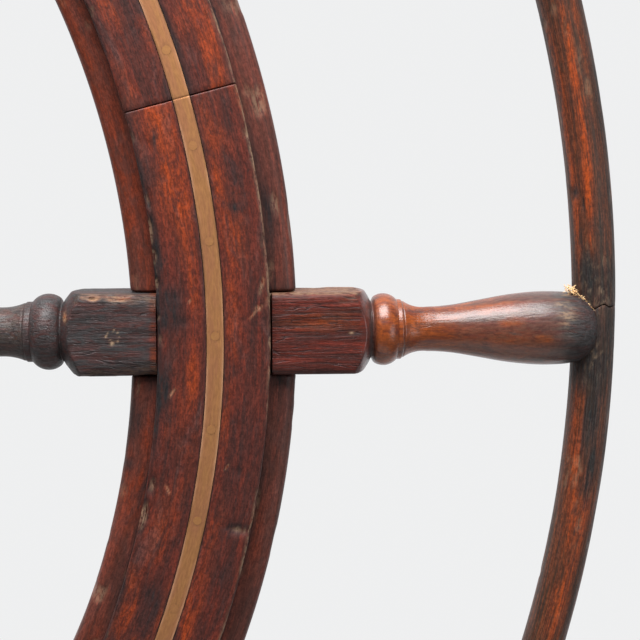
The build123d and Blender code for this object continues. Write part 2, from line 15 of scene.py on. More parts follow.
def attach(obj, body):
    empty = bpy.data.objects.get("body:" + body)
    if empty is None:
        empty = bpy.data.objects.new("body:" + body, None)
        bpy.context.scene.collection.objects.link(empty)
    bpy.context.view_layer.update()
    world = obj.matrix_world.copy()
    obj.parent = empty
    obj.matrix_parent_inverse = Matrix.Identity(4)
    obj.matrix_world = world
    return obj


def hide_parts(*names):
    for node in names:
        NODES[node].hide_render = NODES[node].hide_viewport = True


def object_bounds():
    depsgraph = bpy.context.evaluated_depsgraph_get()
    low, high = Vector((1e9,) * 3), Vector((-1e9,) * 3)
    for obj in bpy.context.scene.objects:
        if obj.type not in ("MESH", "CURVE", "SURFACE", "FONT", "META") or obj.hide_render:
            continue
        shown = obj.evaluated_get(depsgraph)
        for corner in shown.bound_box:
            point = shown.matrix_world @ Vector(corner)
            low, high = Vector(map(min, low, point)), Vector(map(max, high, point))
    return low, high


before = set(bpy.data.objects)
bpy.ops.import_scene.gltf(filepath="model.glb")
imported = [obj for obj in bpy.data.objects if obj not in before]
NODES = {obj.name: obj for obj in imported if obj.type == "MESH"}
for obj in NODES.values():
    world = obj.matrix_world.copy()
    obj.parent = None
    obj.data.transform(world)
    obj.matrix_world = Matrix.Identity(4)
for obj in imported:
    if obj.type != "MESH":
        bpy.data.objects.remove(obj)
CAD_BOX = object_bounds()
MM = 0.001
WHEEL = "wheel"
SPOKES = 10
KING_SPOKE = 3
PITCH = 360 / SPOKES        # angles are in degrees
FACING_PIECES = 5
FRONT_START = 15.0          # where front_facing_1 starts
REAR_START = 51.0           # where rear_facing_1 starts, half a piece further round
HOOP_PIECES = 5
HOOP_START = 1.0            # where hoop_1 starts
PIN_PITCH = 6.0
PIN_HEAD = 2.25             # radius of a pin's head


# ---- sizes read from the frame ----
def reach(node):
    """Distances of a node from the spin axis and its places along it: inner, outer, front, rear."""
    mesh = NODES[node].data
    flat = np.empty(len(mesh.vertices) * 3)
    mesh.vertices.foreach_get("co", flat)
    places = flat.reshape(-1, 3) / MM
    radius = np.hypot(places[:, 0], places[:, 2])
    return radius.min(), radius.max(), places[:, 1].min(), places[:, 1].max()


FELLOE_IN, FELLOE_OUT, FELLOE_FRONT, FELLOE_REAR = reach("felloe_01")
FACING_IN, FACING_OUT, FACING_FRONT, FACING_BACK = reach("front_facing_1")
INLAY_IN, INLAY_OUT, _, INLAY_BACK = reach("brass_inlay")
_, HANDLE_END, BLOCK_FRONT, BLOCK_REAR = reach("spoke_01")
HOOP_IN, HOOP_OUT, _, _ = reach("hoop_1")
NAVE_RADIUS = reach("nave")[1]

MIDDLE = (FELLOE_FRONT + FELLOE_REAR) / 2
BLOCK_HALF = (BLOCK_REAR - BLOCK_FRONT) / 2
FELLOE_HALF = (FELLOE_REAR - FELLOE_FRONT) / 2
FACING_TOP = FACING_FRONT - MIDDLE          # local place of the facing's front face
FACING_FLOOR = FACING_BACK - MIDDLE
INLAY_FLOOR = INLAY_BACK - MIDDLE
RIM_MIDDLE = (INLAY_IN + INLAY_OUT) / 2
HOOP_BAR = (HOOP_OUT - HOOP_IN) / 2
HOOP_RADIUS = (HOOP_OUT + HOOP_IN) / 2
SEAM = 0.25                                 # between a felloe and the block beside it


# ---- noise ----
def lattice(i, j, k, seed):
    """A repeatable number between 0 and 1 for each whole-numbered place."""
    h = (i * 374761393 + j * 668265263 + k * 1442695041 + seed * 974634777) & 0xFFFFFFFF
    h = ((h ^ (h >> 13)) * 1274126177) & 0xFFFFFFFF
    return ((h ^ (h >> 16)) & 0xFFFF) / 65535.0


def noise(places, cell, seed):
    """Smooth noise between 0 and 1 with cells of the given size along each direction."""
    scaled = places / np.asarray(cell, float)
    base = np.floor(scaled).astype(np.int64)
    part = scaled - base
    part = part * part * (3 - 2 * part)
    total = np.zeros(places.shape[:-1])
    for corner in np.ndindex(2, 2, 2):
        weight = np.prod(np.where(corner, part, 1 - part), axis=-1)
        cells = base + np.asarray(corner)
        total += weight * lattice(cells[..., 0], cells[..., 1], cells[..., 2], seed)
    return total


def rough(places, cell, seed, octaves=3):
    """Several layers of noise, each half the size and half the strength of the one before."""
    total = 0.0
    strength = 0.0
    for octave in range(octaves):
        share = 0.5 ** octave
        total = total + share * noise(places, np.asarray(cell, float) * share, seed + octave)
        strength += share
    return total / strength


def step(values, low, high):
    """A smooth step from 0 at low to 1 at high."""
    t = np.clip((values - low) / (high - low), 0, 1)
    return t * t * (3 - 2 * t)


def patches(places, cell, seed, low, high, octaves=3):
    """Soft-edged patches, 0 to 1, where rough noise passes from low to high."""
    return step(rough(places, cell, seed, octaves), low, high)


def offset(angle, pitch=360.0):
    """The angle to the nearest multiple of the pitch, negative before it."""
    return (angle + pitch / 2) % pitch - pitch / 2


def bell(values, centre, width, power=2):
    """1 at the centre, falling towards 0 at about the width; a higher power has steeper sides."""
    return np.exp(-((values - centre) / width) ** power)


def inward(push):
    """Wear only takes wood away, and it leaves every surface just inside the CAD's own."""
    return np.minimum(push, 0.0) - 0.02


# ---- mesh helpers ----
def add_object(name, data):
    thing = bpy.data.objects.new(name, data)
    bpy.context.scene.collection.objects.link(thing)
    return thing


def skin(name, rings, grain, masks, material):
    """A closed piece from rings of points, with its grain coordinates and colour masks."""
    stations, around = rings.shape[:2]
    points = np.concatenate([rings.reshape(-1, 3), rings[0].mean(0)[None], rings[-1].mean(0)[None]])
    flow = np.concatenate([grain.reshape(-1, 3), grain[0].mean(0)[None], grain[-1].mean(0)[None]])
    s, j = np.meshgrid(np.arange(stations - 1), np.arange(around), indexing="ij")
    k = (j + 1) % around
    quads = np.stack([s * around + j, s * around + k, (s + 1) * around + k, (s + 1) * around + j], -1)
    first = stations * around
    j = np.arange(around)
    k = (j + 1) % around
    cap = np.stack([np.full(around, first), k, j], -1)
    far = (stations - 1) * around
    end_cap = np.stack([np.full(around, first + 1), far + j, far + k], -1)
    faces = quads.reshape(-1, 4).tolist() + cap.tolist() + end_cap.tolist()

    mesh = bpy.data.meshes.new(name)
    mesh.from_pydata((points * MM).tolist(), [], faces)
    if signed_volume(points, quads.reshape(-1, 4)) < 0:
        mesh.flip_normals()
    mesh.shade_smooth()
    mesh.set_sharp_from_angle(angle=math.radians(42))
    vector = mesh.attributes.new("grain", "FLOAT_VECTOR", "POINT")
    vector.data.foreach_set("vector", (flow * MM).astype(np.float32).ravel())
    for key, values in masks.items():
        values = np.clip(values, 0, 1)
        flat = values.reshape(-1)
        ends = [values[0].mean(), values[-1].mean()]
        attribute = mesh.attributes.new(key, "FLOAT", "POINT")
        attribute.data.foreach_set("value", np.concatenate([flat, ends]).astype(np.float32))
    mesh.materials.append(material)
    return add_object(name, mesh)


def signed_volume(points, quads):
    """Six times the volume inside the faces, negative where they are wound inside out."""
    a, b, c, d = (points[quads[:, n]] for n in range(4))
    return (np.einsum("ij,ij->i", a, np.cross(b, c)) + np.einsum("ij,ij->i", a, np.cross(c, d))).sum()


def place(piece, degrees, node):
    """Turns a piece from its local frame into its place and lets it stand for a CAD node."""
    turn = Matrix.Rotation(math.radians(-degrees), 4, "Y")
    piece.data.transform(Matrix.Translation((0, MIDDLE * MM, 0)) @ turn)
    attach(piece, WHEEL)
    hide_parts(node)


def outline(corners, spacing):
    """A closed outline through (x, y, rounding) corners, evenly filled with points."""
    spots = np.array([corner[:2] for corner in corners], float)
    count = len(corners)
    chain = []
    for index, corner in enumerate(corners):
        here = spots[index]
        back = spots[index - 1] - here
        ahead = spots[(index + 1) % count] - here
        back /= np.linalg.norm(back)
        ahead /= np.linalg.norm(ahead)
        half = math.acos(float(np.clip(back @ ahead, -1, 1))) / 2
        cut = corner[2] / math.tan(half)
        centre = here + (back + ahead) / np.linalg.norm(back + ahead) * corner[2] / math.sin(half)
        start = here + back * cut - centre
        end = here + ahead * cut - centre
        steps = max(3, math.ceil(3 * corner[2] / spacing))
        for share in np.linspace(0, 1, steps):
            ray = start * (1 - share) + end * share
            chain.append(centre + ray / np.linalg.norm(ray) * corner[2])
    filled = []
    for index, here in enumerate(chain):
        ahead = chain[(index + 1) % len(chain)]
        steps = max(1, round(float(np.linalg.norm(ahead - here)) / spacing))
        filled += [here + (ahead - here) * n / steps for n in range(steps)]
    points = np.array(filled)
    along = np.roll(points, -1, 0) - np.roll(points, 1, 0)
    normals = np.stack([along[:, 1], -along[:, 0]], -1)
    normals /= np.linalg.norm(normals, axis=1, keepdims=True)
    outward = ((points - points.mean(0)) * normals).sum()
    return points, normals * np.sign(outward)


def sweep(section, normals, limit, spacing, ease):
    """Stations along an arc; limit gives the half angle in degrees at each radius.

    Returns the angles, radii and places along the axis, with the ends rounded over by ease."""
    ends = limit(section[:, 0])
    length = math.radians(ends.max()) * section[:, 0].max()
    inner = np.linspace(-1, 1, max(8, round(2 * length / spacing)))
    close = 1 - ease / length * np.array([0.0, 0.15, 0.4, 0.7])
    t = np.unique(np.concatenate([inner[np.abs(inner) < close[-1]], close, -close]))
    theta = t[:, None] * ends[None, :]
    gap = (1 - np.abs(t))[:, None] * length
    over = np.clip(ease - gap, 0, ease)
    inset = ease - np.sqrt(np.maximum(ease ** 2 - over ** 2, 0))
    radius = section[None, :, 0] - inset * normals[None, :, 0]
    depth = section[None, :, 1] - inset * normals[None, :, 1]
    return theta, radius, depth


def bend(theta, radius, depth, normals, push):
    """Points in the local frame, pushed out along the section's normals."""
    radius = radius + push * normals[None, :, 0]
    depth = depth + push * normals[None, :, 1]
    angle = np.radians(theta)
    return np.stack([radius * np.cos(angle), depth, radius * np.sin(angle)], -1)


def flow_of(theta, radius, depth, shift):
    """Grain coordinates: along the arc, across it and through the thickness."""
    return np.stack([np.radians(theta) * RIM_MIDDLE + shift, radius, depth], -1)


# ---- materials ----
class Graph:
    """The node tree of a material or a world, and short calls that add nodes to it."""

    def __init__(self, owner):
        owner.use_nodes = True
        self.owner = owner
        self.tree = owner.node_tree
        self.tree.nodes.clear()

    def link(self, source, target):
        self.tree.links.new(source, target)

    def put(self, socket, value):
        if isinstance(value, bpy.types.NodeSocket):
            self.link(value, socket)
        else:
            socket.default_value = value

    def node(self, kind, **sockets):
        """A new node; each of the named sockets gets a link or a value of its own."""
        node = self.tree.nodes.new("ShaderNode" + kind)
        for key, value in sockets.items():
            self.put(node.inputs[key.replace("_", " ")], value)
        return node

    def attribute(self, name, output="Fac"):
        node = self.node("Attribute")
        node.attribute_name = name
        return node.outputs[output]

    def object_place(self):
        return self.node("TexCoord").outputs["Object"]

    def noise(self, vector, cell, detail=3.0, roughness=0.55, distortion=0.0):
        """Noise between 0 and 1 with cells of the given millimetres."""
        scaled = self.node("Mapping", Vector=vector, Scale=[1000 / size for size in cell]).outputs["Vector"]
        node = self.node("TexNoise", Vector=scaled, Scale=1.0, Detail=detail, Roughness=roughness,
                         Distortion=distortion)
        return node.outputs["Fac"]

    def spread(self, value, low, high, to_low=0.0, to_high=1.0):
        """A smooth step of the value from low to high."""
        node = self.node("MapRange", From_Min=low, From_Max=high, To_Min=to_low, To_Max=to_high, Value=value)
        node.interpolation_type = "SMOOTHSTEP"
        return node.outputs["Result"]

    def math(self, kind, *values):
        node = self.node("Math")
        node.operation = kind
        node.use_clamp = kind in ("ADD", "SUBTRACT")
        for socket, value in zip(node.inputs, values):
            self.put(socket, value)
        return node.outputs[0]

    def times(self, first, second):
        return self.math("MULTIPLY", first, second)

    def mix(self, share, first, second, kind="MIX"):
        node = self.node("Mix")
        node.data_type = "RGBA"
        node.blend_type = kind
        # the node has sockets for numbers, vectors and colours; these are the factor and the colours
        self.put(node.inputs[0], share)
        self.put(node.inputs[6], first)
        self.put(node.inputs[7], second)
        return node.outputs[2]

    def bump(self, height, distance, strength, **normal):
        node = self.node("Bump", Strength=strength, Distance=distance * MM, Height=height, **normal)
        return node.outputs["Normal"]

    def finish(self, colour, roughness, **sockets):
        """Ends a material with a principled shader."""
        shader = self.node("BsdfPrincipled", Base_Color=colour, Roughness=roughness, **sockets)
        self.link(shader.outputs["BSDF"], self.node("OutputMaterial").inputs["Surface"])
        return self.owner


def new_material(name):
    return Graph(bpy.data.materials.new(name))


def rgb(red, green, blue):
    return (red, green, blue, 1.0)


SOOT = rgb(0.015, 0.013, 0.014)
DEEP = rgb(0.018, 0.009, 0.008)
HAZE = rgb(0.085, 0.055, 0.052)
PALE = rgb(0.50, 0.34, 0.21)


def wood(name, dark, middle, warm, black, polish, streak, fibre, line, grit, haze, coat, gloss):
    """Old varnished wood. The masks wear, grime, warm and raw steer its colour and its gloss;
    besides real wear and dirt, the wear mask carries painted sheen and the grime mask painted shade.

    streak and fibre are cells of the grain; line, grit, haze, coat and gloss are strengths."""
    g = new_material(name)
    grain = g.attribute("grain", "Vector")
    raw = g.attribute("raw")
    streaks = g.noise(grain, streak, 5.0, 0.6, 0.8)
    blotch = g.noise(grain, (26, 8, 8), 5.0, 0.62, 1.2)
    cloud = g.noise(grain, (38, 13, 13), 6.0, 0.66, 0.8)
    fibres = g.noise(grain, fibre, 4.0, 0.62, 0.2)
    specks = g.noise(grain, (2.6, 1.1, 1.1), 3.0, 0.75)
    crossing = g.noise(grain, (1.3, 9.0, 9.0), 3.0, 0.7, 1.5)
    patch = g.noise(grain, (15, 2.6, 2.6), 5.0, 0.68, 0.9)
    fleck = g.noise(grain, (5.0, 1.1, 1.1), 2.0, 0.6)
    flakes = g.noise(grain, (4.0, 1.5, 1.5), 3.0, 0.7)
    cracks = g.noise(grain, (46, 3.0, 3.0), 2.0, 0.5, 0.6)

    # the wood itself, its warm places, the bloom on the varnish and the soot; the grime mask that steers the
    # soot also paints shade into gaps and corners
    colour = g.mix(g.spread(streaks, 0.38, 0.62), dark, middle)
    heat = g.times(g.attribute("warm"), g.spread(blotch, 0.34, 0.54, 0.2, 1.0))
    colour = g.mix(heat, colour, warm)
    colour = g.mix(g.spread(cloud, 0.34, 0.50, haze, 0.0), colour, HAZE)
    soot_and_shade = g.math("ADD", g.attribute("grime_and_shade"), g.spread(cloud, 0.55, 0.72, 0.0, 0.6))
    soot_and_shade = g.times(soot_and_shade, g.spread(blotch, 0.30, 0.58, 0.6, 1.0))
    colour = g.mix(soot_and_shade, colour, black)

    # dark lines between the fibres, grain in both directions, dark flecks and cracks
    lines = g.times(g.spread(fibres, 0.36, 0.56, 1.0, 0.0), g.spread(raw, 0.0, 1.0, 0.3 * line, line))
    colour = g.mix(lines, colour, DEEP)
    tone = g.times(g.spread(specks, 0.34, 0.66, 1 - grit, 1 + grit),
                   g.spread(crossing, 0.32, 0.68, 1 - grit / 4, 1 + grit / 4))
    colour = g.mix(1.0, colour, tone, "MULTIPLY")
    colour = g.mix(g.spread(patch, 0.50, 0.62, 0.0, 0.50), colour, dark)
    colour = g.mix(g.spread(fleck, 0.62, 0.72, 0.0, grit), colour, SOOT)
    split = g.times(g.spread(crack_shape(g, cracks), 0.955, 0.99, 0.0, 0.6), raw)
    colour = g.mix(split, colour, SOOT)

    # pale wood where the surface is rubbed or torn away, and painted sheen where the wear mask carries it: on
    # top of the block and on the grip of spoke_01
    bare = g.times(g.attribute("wear_and_sheen"), g.spread(flakes, 0.36, 0.58))
    colour = g.mix(bare, colour, PALE)

    roughness = g.math("ADD", g.spread(cloud, 0.30, 0.70, polish, polish + 0.14),
                       g.spread(raw, 0, 1, 0, 0.12))
    height = g.math("ADD", g.times(fibres, 0.5), g.times(specks, 0.4))
    height = g.math("SUBTRACT", height, g.times(split, 0.5))
    waves = g.bump(g.noise(grain, (18, 4, 4), 3.0, 0.55), 0.32, 0.5)
    normal = g.bump(height, 0.85, g.spread(raw, 0.0, 1.0, 0.16, 1.0), Normal=waves)
    varnish = g.times(g.spread(raw, 0.1, 0.8, coat, 0.22 * coat), g.spread(bare, 0.0, 0.5, 1.0, 0.0))
    return g.finish(colour, roughness, Normal=normal, Specular_IOR_Level=gloss, Coat_Weight=varnish,
                    Coat_Roughness=0.27, Coat_Normal=normal)


def crack_shape(g, value):
    """Highest where the value passes its middle: a thin wandering line."""
    off = g.math("ABSOLUTE", g.math("MULTIPLY_ADD", value, 2.0, -1.0))
    return g.math("SUBTRACT", 1.0, off)


def metal(name, colour, stain, roughness, metallic=1.0, cell=(9, 9, 9), line=None):
    """Aged metal: clouds of tarnish, and fine lines along the grain where it has one."""
    g = new_material(name)
    at = g.attribute("grain", "Vector") if line else g.object_place()
    cloud = g.noise(at, cell, 6.0, 0.6, 0.3)
    fine = g.noise(at, line or (1.2, 1.2, 1.2), 3.0, 0.6)
    base = g.mix(g.spread(cloud, 0.40, 0.64, 0.0, 0.75), colour, stain)
    base = g.mix(g.spread(fine, 0.35, 0.70, 0.0, 0.45), base, stain)
    if line:
        base = g.mix(g.attribute("grime_and_shade"), base, rgb(0.10, 0.055, 0.032))
        # on the brass strip the wear mask holds the painted highlight along its edges
        base = g.mix(g.attribute("wear_and_sheen"), base, rgb(0.54, 0.29, 0.17))
        dust_and_sheen = g.noise(at, (4.5, 1.0, 1.0), 3.0, 0.7)
        base = g.mix(1.0, base, g.spread(dust_and_sheen, 0.34, 0.66, 0.88, 1.12), "MULTIPLY")
    gloss = g.spread(cloud, 0.3, 0.75, roughness, roughness + 0.18)
    return g.finish(base, gloss, Normal=g.bump(fine, 0.03, 0.6), Metallic=metallic)


def hub_wood(name, dark, middle, polish):
    """Wood for the pieces that keep their CAD meshes, with its grain along Z."""
    g = new_material(name)
    at = g.object_place()
    streaks = g.noise(at, (5.0, 5.0, 110), 5.0, 0.6, 0.4)
    fibres = g.noise(at, (0.6, 0.6, 16), 3.0, 0.6)
    cloud = g.noise(at, (14, 14, 44), 6.0, 0.6, 0.4)
    colour = g.mix(g.spread(streaks, 0.32, 0.68), dark, middle)
    colour = g.mix(g.spread(cloud, 0.55, 0.78, 0.0, 0.8), colour, SOOT)
    colour = g.mix(g.spread(fibres, 0.3, 0.75, 0.5, 0.0), colour, dark)
    roughness = g.spread(cloud, 0.3, 0.8, polish, polish + 0.2)
    normal = g.bump(fibres, 0.1, 0.7)
    return g.finish(colour, roughness, Normal=normal, Coat_Weight=0.1, Coat_Roughness=0.2)


# ---- the turned spokes ----
def level(start, end, thickness):
    """A stretch of the turned outline: its start, its end and the thickness at each place in it."""
    return start, end, lambda x: np.full_like(x, thickness)


def arc(first, through, last):
    """A stretch on the circle through three (place, thickness) points."""
    (ax, ay), (bx, by), (cx, cy) = first, through, last
    d = 2 * (ax * (by - cy) + bx * (cy - ay) + cx * (ay - by))
    a2, b2, c2 = ax ** 2 + ay ** 2, bx ** 2 + by ** 2, cx ** 2 + cy ** 2
    middle_x = (a2 * (by - cy) + b2 * (cy - ay) + c2 * (ay - by)) / d
    middle_y = (a2 * (cx - bx) + b2 * (ax - cx) + c2 * (bx - ax)) / d
    radius = math.hypot(ax - middle_x, ay - middle_y)
    side = 1.0 if by > middle_y else -1.0
    return ax, cx, lambda x: middle_y + side * np.sqrt(np.maximum(radius ** 2 - (x - middle_x) ** 2, 0))


def curve(points, start_slope, end_slope):
    """A stretch on a smooth curve through several (place, thickness) points."""
    xs, ys = np.array(points, float).T
    slopes = np.gradient(ys, xs)
    slopes[0], slopes[-1] = start_slope, end_slope

    def thickness(x):
        i = np.clip(np.searchsorted(xs, x, side="right") - 1, 0, len(xs) - 2)
        width = xs[i + 1] - xs[i]
        t = (x - xs[i]) / width
        return (ys[i] * (1 + 2 * t) * (1 - t) ** 2 + width * slopes[i] * t * (1 - t) ** 2
                + ys[i + 1] * t * t * (3 - 2 * t) + width * slopes[i + 1] * t * t * (t - 1))

    return xs[0], xs[-1], thickness


# The outline from the nave to the handle's end. Places are distances from the wheel's axis and
# thicknesses are radii.
BIG = 1.43 * BLOCK_HALF                     # beyond the block's corners, so the square shows
TURNING = (
    level(118, 140, 19.0),
    (140, 142, lambda x: 19.0 - 1.2 * (x - 140)),
    arc((142, 16.6), (149, 20.2), (156, 16.6)),
    level(156, 159.5, 16.5),
    arc((159.5, 16.4), (164.5, 13.9), (172, 12.8)),
    curve([(172, 12.8), (204, 17.2), (240, 19.4), (300, 16.6), (358, 13.4)], 0.0, 0.0),
    arc((358, 13.4), (367.3, 14.1), (373.2, 16.1)),
    level(373.2, 376.6, 16.3),
    arc((376.6, 16.4), (385.4, 20.6), (392, 17.6)),
    level(392, 393.6, 17.4),
    arc((393.6, 17.4), (397.3, 22), (404.6, BIG)),
    level(404.6, 546.6, BIG),
    arc((546.6, BIG), (554.9, 22), (557.8, 17.6)),
    level(557.8, 559.4, 17.4),
    arc((559.4, 17.4), (565.4, 19.8), (572.8, 16.6)),
    level(572.8, 575.4, 16.5),
    arc((575.4, 16.4), (580.6, 13.5), (590, 12.4)),
    curve([(590, 12.4), (603, 13.2), (617, 15.6), (637, 19.0), (657, 20.4), (671.5, 19.3)], 0.0, -0.2),
    arc((671.5, 19.3), (678.4, 16.6), (682.1, 12.2)),
)
# cuts round the turning: place, width, depth
GROOVES = ((392.6, 0.9, 1.5), (558.9, 0.9, 1.7), (575.9, 0.5, 0.5), (372.9, 0.5, 0.5))
KING_GROOVES = ((630, 1.3, 1.1), (638, 1.3, 1.1), (646, 1.3, 1.1))


def turned_radius(x):
    """Thickness of the turning at each place along a spoke."""
    radius = np.full_like(x, 19.0)
    for start, end, shape in TURNING:
        inside = (x >= start) & (x <= end)
        radius[inside] = shape(x[inside])
    return radius


def spoke_stations(step_size):
    """Places along a spoke, closer together where the outline has small turnings."""
    fine = [(138, 174), (356, 408), (544, 592), (664, HANDLE_END)]
    places = [np.arange(NAVE_RADIUS - 0.5, HANDLE_END, step_size)]
    for start, end in fine:
        places.append(np.arange(start, end, step_size * 0.4))
    return np.unique(np.round(np.concatenate(places + [[HANDLE_END - 0.05]]), 2))


def spoke_outline(x, phi, is_king):
    """Distance from a spoke's own axis to its surface: the turning, cut by the square block."""
    radius = turned_radius(x)
    for centre, width, depth in GROOVES + (KING_GROOVES if is_king else ()):
        radius = radius - depth * bell(x, centre, width)
    power = 13.0
    square = BLOCK_HALF / (np.abs(np.cos(phi)) ** power + np.abs(np.sin(phi)) ** power) ** (1 / power)
    soft = 0.35
    turned = np.broadcast_to(radius[:, None], (len(x), len(phi)))
    return -soft * np.logaddexp(-turned / soft, -square / soft)


def spoke_masks(at, worn, seed):
    """Colour masks of a spoke: smoked inside the rim, varnished outside it, black at its end."""
    inner = 1 - step(at.x + 8 * (rough(at.flow, (12, 5, 5), 81 + seed) - 0.5), 437, 446)
    handle = step(at.x, 556, 562)
    ragged = at.x + 16 * (rough(at.flow, (12, 5, 5), 91 + seed) - 0.5)
    end = step(ragged, 652, 672)
    upper = step(at.across, -6.0, 8.0)
    brown = step(ragged, 584, 612) * patches(at.flow, (34, 6, 6), 61 + seed, 0.36, 0.62)
    brown = np.maximum(brown, 1.4 * step(ragged, 628, 652)) * (0.5 + 0.5 * upper)
    # the grip and the thin neck inside the rim are rubbed a little paler
    paler_zone = step(at.x, 594, 612) * (1 - step(at.x, 660, 674)) + (1 - step(at.x, 370, 376))
    wear_and_sheen = 0.12 * worn + 0.04 * paler_zone
    grime_and_shade = 0.95 * inner * (1 - 0.2 * worn) + 0.04 * at.block
    grime_and_shade = grime_and_shade + (0.95 - 0.22 * upper) * end * handle + 0.47 * brown
    grime_and_shade = grime_and_shade + 0.9 * bell(at.x, 557.6, 2.2) + 0.3 * bell(at.x, 575.6, 0.9)
    warm = 0.9 * handle * (1 - end) * (1 - 0.7 * np.minimum(brown, 1)) + 0.35 * worn * (1 - inner)
    raw = at.block + 0.75 * end + 0.6 * inner * (1 - at.block)
    return {"wear_and_sheen": wear_and_sheen, "grime_and_shade": grime_and_shade, "warm": warm, "raw": raw}


# Marks on the front of spoke_01: place along it, place across it, reach along, reach across.
CHIP = (395.8, 9.5, 1.2, 2.4)
WARM_PATCH = (531, 7.0, 20, 4.5)
PALE_SPECK = (546.5, 0.8, 1.1, 0.6)
BARE_SPOT = (651, -3.5, 4.0, 1.8)
SPECK_RING = 421            # where along the spoke the ring of filler specks lies


def oval(at, mark, power=2):
    """A soft oval mark on a spoke's front."""
    along, across, reach_along, reach_across = mark
    return bell(at.x, along, reach_along, power) * bell(at.across, across, reach_across, power) * at.front


def torn_edge(at, flare):
    """Where wood is torn off the upper front edge of the block, inside the rim."""
    edge = bell(at.across, 20.0, 2.0) * step(at.ahead, 12, 19)
    torn = bell(at.x, 408, 6.5, 4) + 0.75 * bell(at.x, 424, 8, 4)
    return edge * torn * step(flare, 0.34, 0.60)


def long_crack(at):
    """The crack along the middle of the block's front, outside the rim."""
    middle = 0.6 * np.sin(at.x / 11.0) + 1.6 * (rough(at.flow, (20, 40, 40), 15, 2) - 0.5)
    return bell(at.across, middle, 0.75) * at.front * step(at.x, 505, 516) * (1 - step(at.x, 549, 556))


def lay(masks, mark, wear_and_sheen=0.0, clean=0.0, warm=0.0, cool=0.0, raw=0.0):
    """Lays one mark over the masks, by the strengths of its effects."""
    masks["wear_and_sheen"] = np.maximum(masks["wear_and_sheen"], wear_and_sheen * mark)
    masks["grime_and_shade"] = masks["grime_and_shade"] * (1 - np.minimum(clean * mark, 1))
    masks["warm"] = (masks["warm"] + warm * mark) * (1 - cool * mark)
    masks["raw"] = np.maximum(masks["raw"], raw * mark)


def mark_spoke_01(at, masks, split, rift, flare):
    """Lays the marks that only spoke_01 has over the wear that all spokes have."""
    scuff = bell(at.x, 442.0, 1.9, 4) * at.front * step(flare, 0.36, 0.60)
    lay(masks, scuff, clean=0.65, warm=0.42)
    lay(masks, split, wear_and_sheen=0.5, clean=1.3, warm=1.2)
    lay(masks, oval(at, CHIP), wear_and_sheen=0.5, clean=1.0, warm=1.0)
    lay(masks, oval(at, WARM_PATCH) * at.block, warm=0.55)
    masks["grime_and_shade"] = np.maximum(masks["grime_and_shade"], rift * (0.45 + 0.6 * step(flare, 0.35, 0.6)))
    lay(masks, oval(at, PALE_SPECK), wear_and_sheen=0.8)
    lay(masks, centre_specks(at) * at.front, wear_and_sheen=1.0)
    lay(masks, oval(at, BARE_SPOT, 4), clean=1.0, warm=3.0)
    fray = bell(at.x, 663, 5.0) * step(at.across, -7, 3) * step(flare, 0.42, 0.66) * at.front
    lay(masks, fray, wear_and_sheen=0.30)
    # the upper front of the grip and of its neck, in the band where the window's highlight falls: the gloss
    # is gone there, and the colour is made paler and less warm, a painted sheen
    painted_sheen_band = bell(at.turn, 34, 19, 4) * step(at.x, 584, 600) * (1 - step(at.x, 645, 662))
    painted_sheen_band = painted_sheen_band * (0.45 + 0.55 * patches(at.flow, (22, 1.6, 1.6), 9, 0.36, 0.60))
    lay(masks, painted_sheen_band, wear_and_sheen=0.08, cool=0.75, raw=0.25)
    lay(masks, bell(at.x, 586, 9, 4) * (np.abs(at.turn - 30) < 60), raw=0.42)
    # painted sheen: the top face of the block outside the rim is made paler, laid as wear
    dust_and_sheen = step(at.across, BLOCK_HALF - 1.5, BLOCK_HALF - 0.3) * at.block
    lay(masks, dust_and_sheen * step(at.x, RIM_MIDDLE, FACING_OUT), wear_and_sheen=0.30)
    # painted shade in the gaps beside the facing: the grime mask makes them black, and they lose their warmth
    lay(masks, at.lap, cool=1.0)
    masks["grime_and_shade"] = np.maximum(masks["grime_and_shade"], at.lap)


def make_spoke(name, seed, is_king, hero, material):
    """One worn spoke, from rings of points along it; phi is 0 at the front."""
    x = spoke_stations(1.0 if hero else 2.4)
    phi = np.linspace(0, 2 * math.pi, 176 if hero else 56, endpoint=False)
    size = spoke_outline(x, phi, is_king)
    at = SimpleNamespace(x=np.broadcast_to(x[:, None], size.shape))
    pp = np.broadcast_to(phi[None, :], size.shape)
    y = -np.cos(pp)
    z = np.sin(pp)
    at.turn = np.degrees(pp)
    at.front = y < 0
    at.ahead = -size * y
    at.across = size * z
    at.flow = np.stack([at.x + 700.0 * seed, size * y, at.across], -1)
    at.block = step(at.x, 396, 402) * (1 - step(at.x, 549, 555))
    corner = step(size, 25.0, 30.5) * at.block
    # the facings' half-laps, cut a little deeper than the faces that lie in them; those of
    # spoke_01 are wider than the facings, which leaves a dark gap at both sides
    play = 0.8 if hero else -1.5
    at.lap = (at.x > FACING_IN - play) & (at.x < FACING_OUT + play)
    flat = FELLOE_HALF - 0.3
    cut = flat / np.maximum(np.abs(y), 1e-6)
    size = np.where(at.lap & (np.abs(at.ahead) > flat), cut, size)

    relief = rough(at.flow, (26, 1.5, 1.5), 11 + seed) - 0.5
    hollow = patches(at.flow, (30, 12, 12), 31 + seed, 0.60, 0.85, 2)
    worn = corner * patches(at.flow, (26, 10, 10), 71 + seed, 0.46, 0.70)
    char = step(at.x, 652, 668)
    push = relief * (0.10 + 0.60 * at.block + 0.55 * char)
    push = push - 0.5 * hollow * (0.3 + at.block + char) - 1.6 * worn
    masks = spoke_masks(at, worn, seed)
    if hero:
        flare = rough(at.flow, (9, 2.5, 2.5), 5)
        split = torn_edge(at, flare)
        rift = long_crack(at)
        push = push - split * (0.5 + 1.8 * flare) - 0.3 * rift
        mark_spoke_01(at, masks, split, rift, flare)
    size = size + inward(push)
    points = np.stack([at.x, size * y, size * z], -1)
    return skin(name, points, at.flow, masks, material)


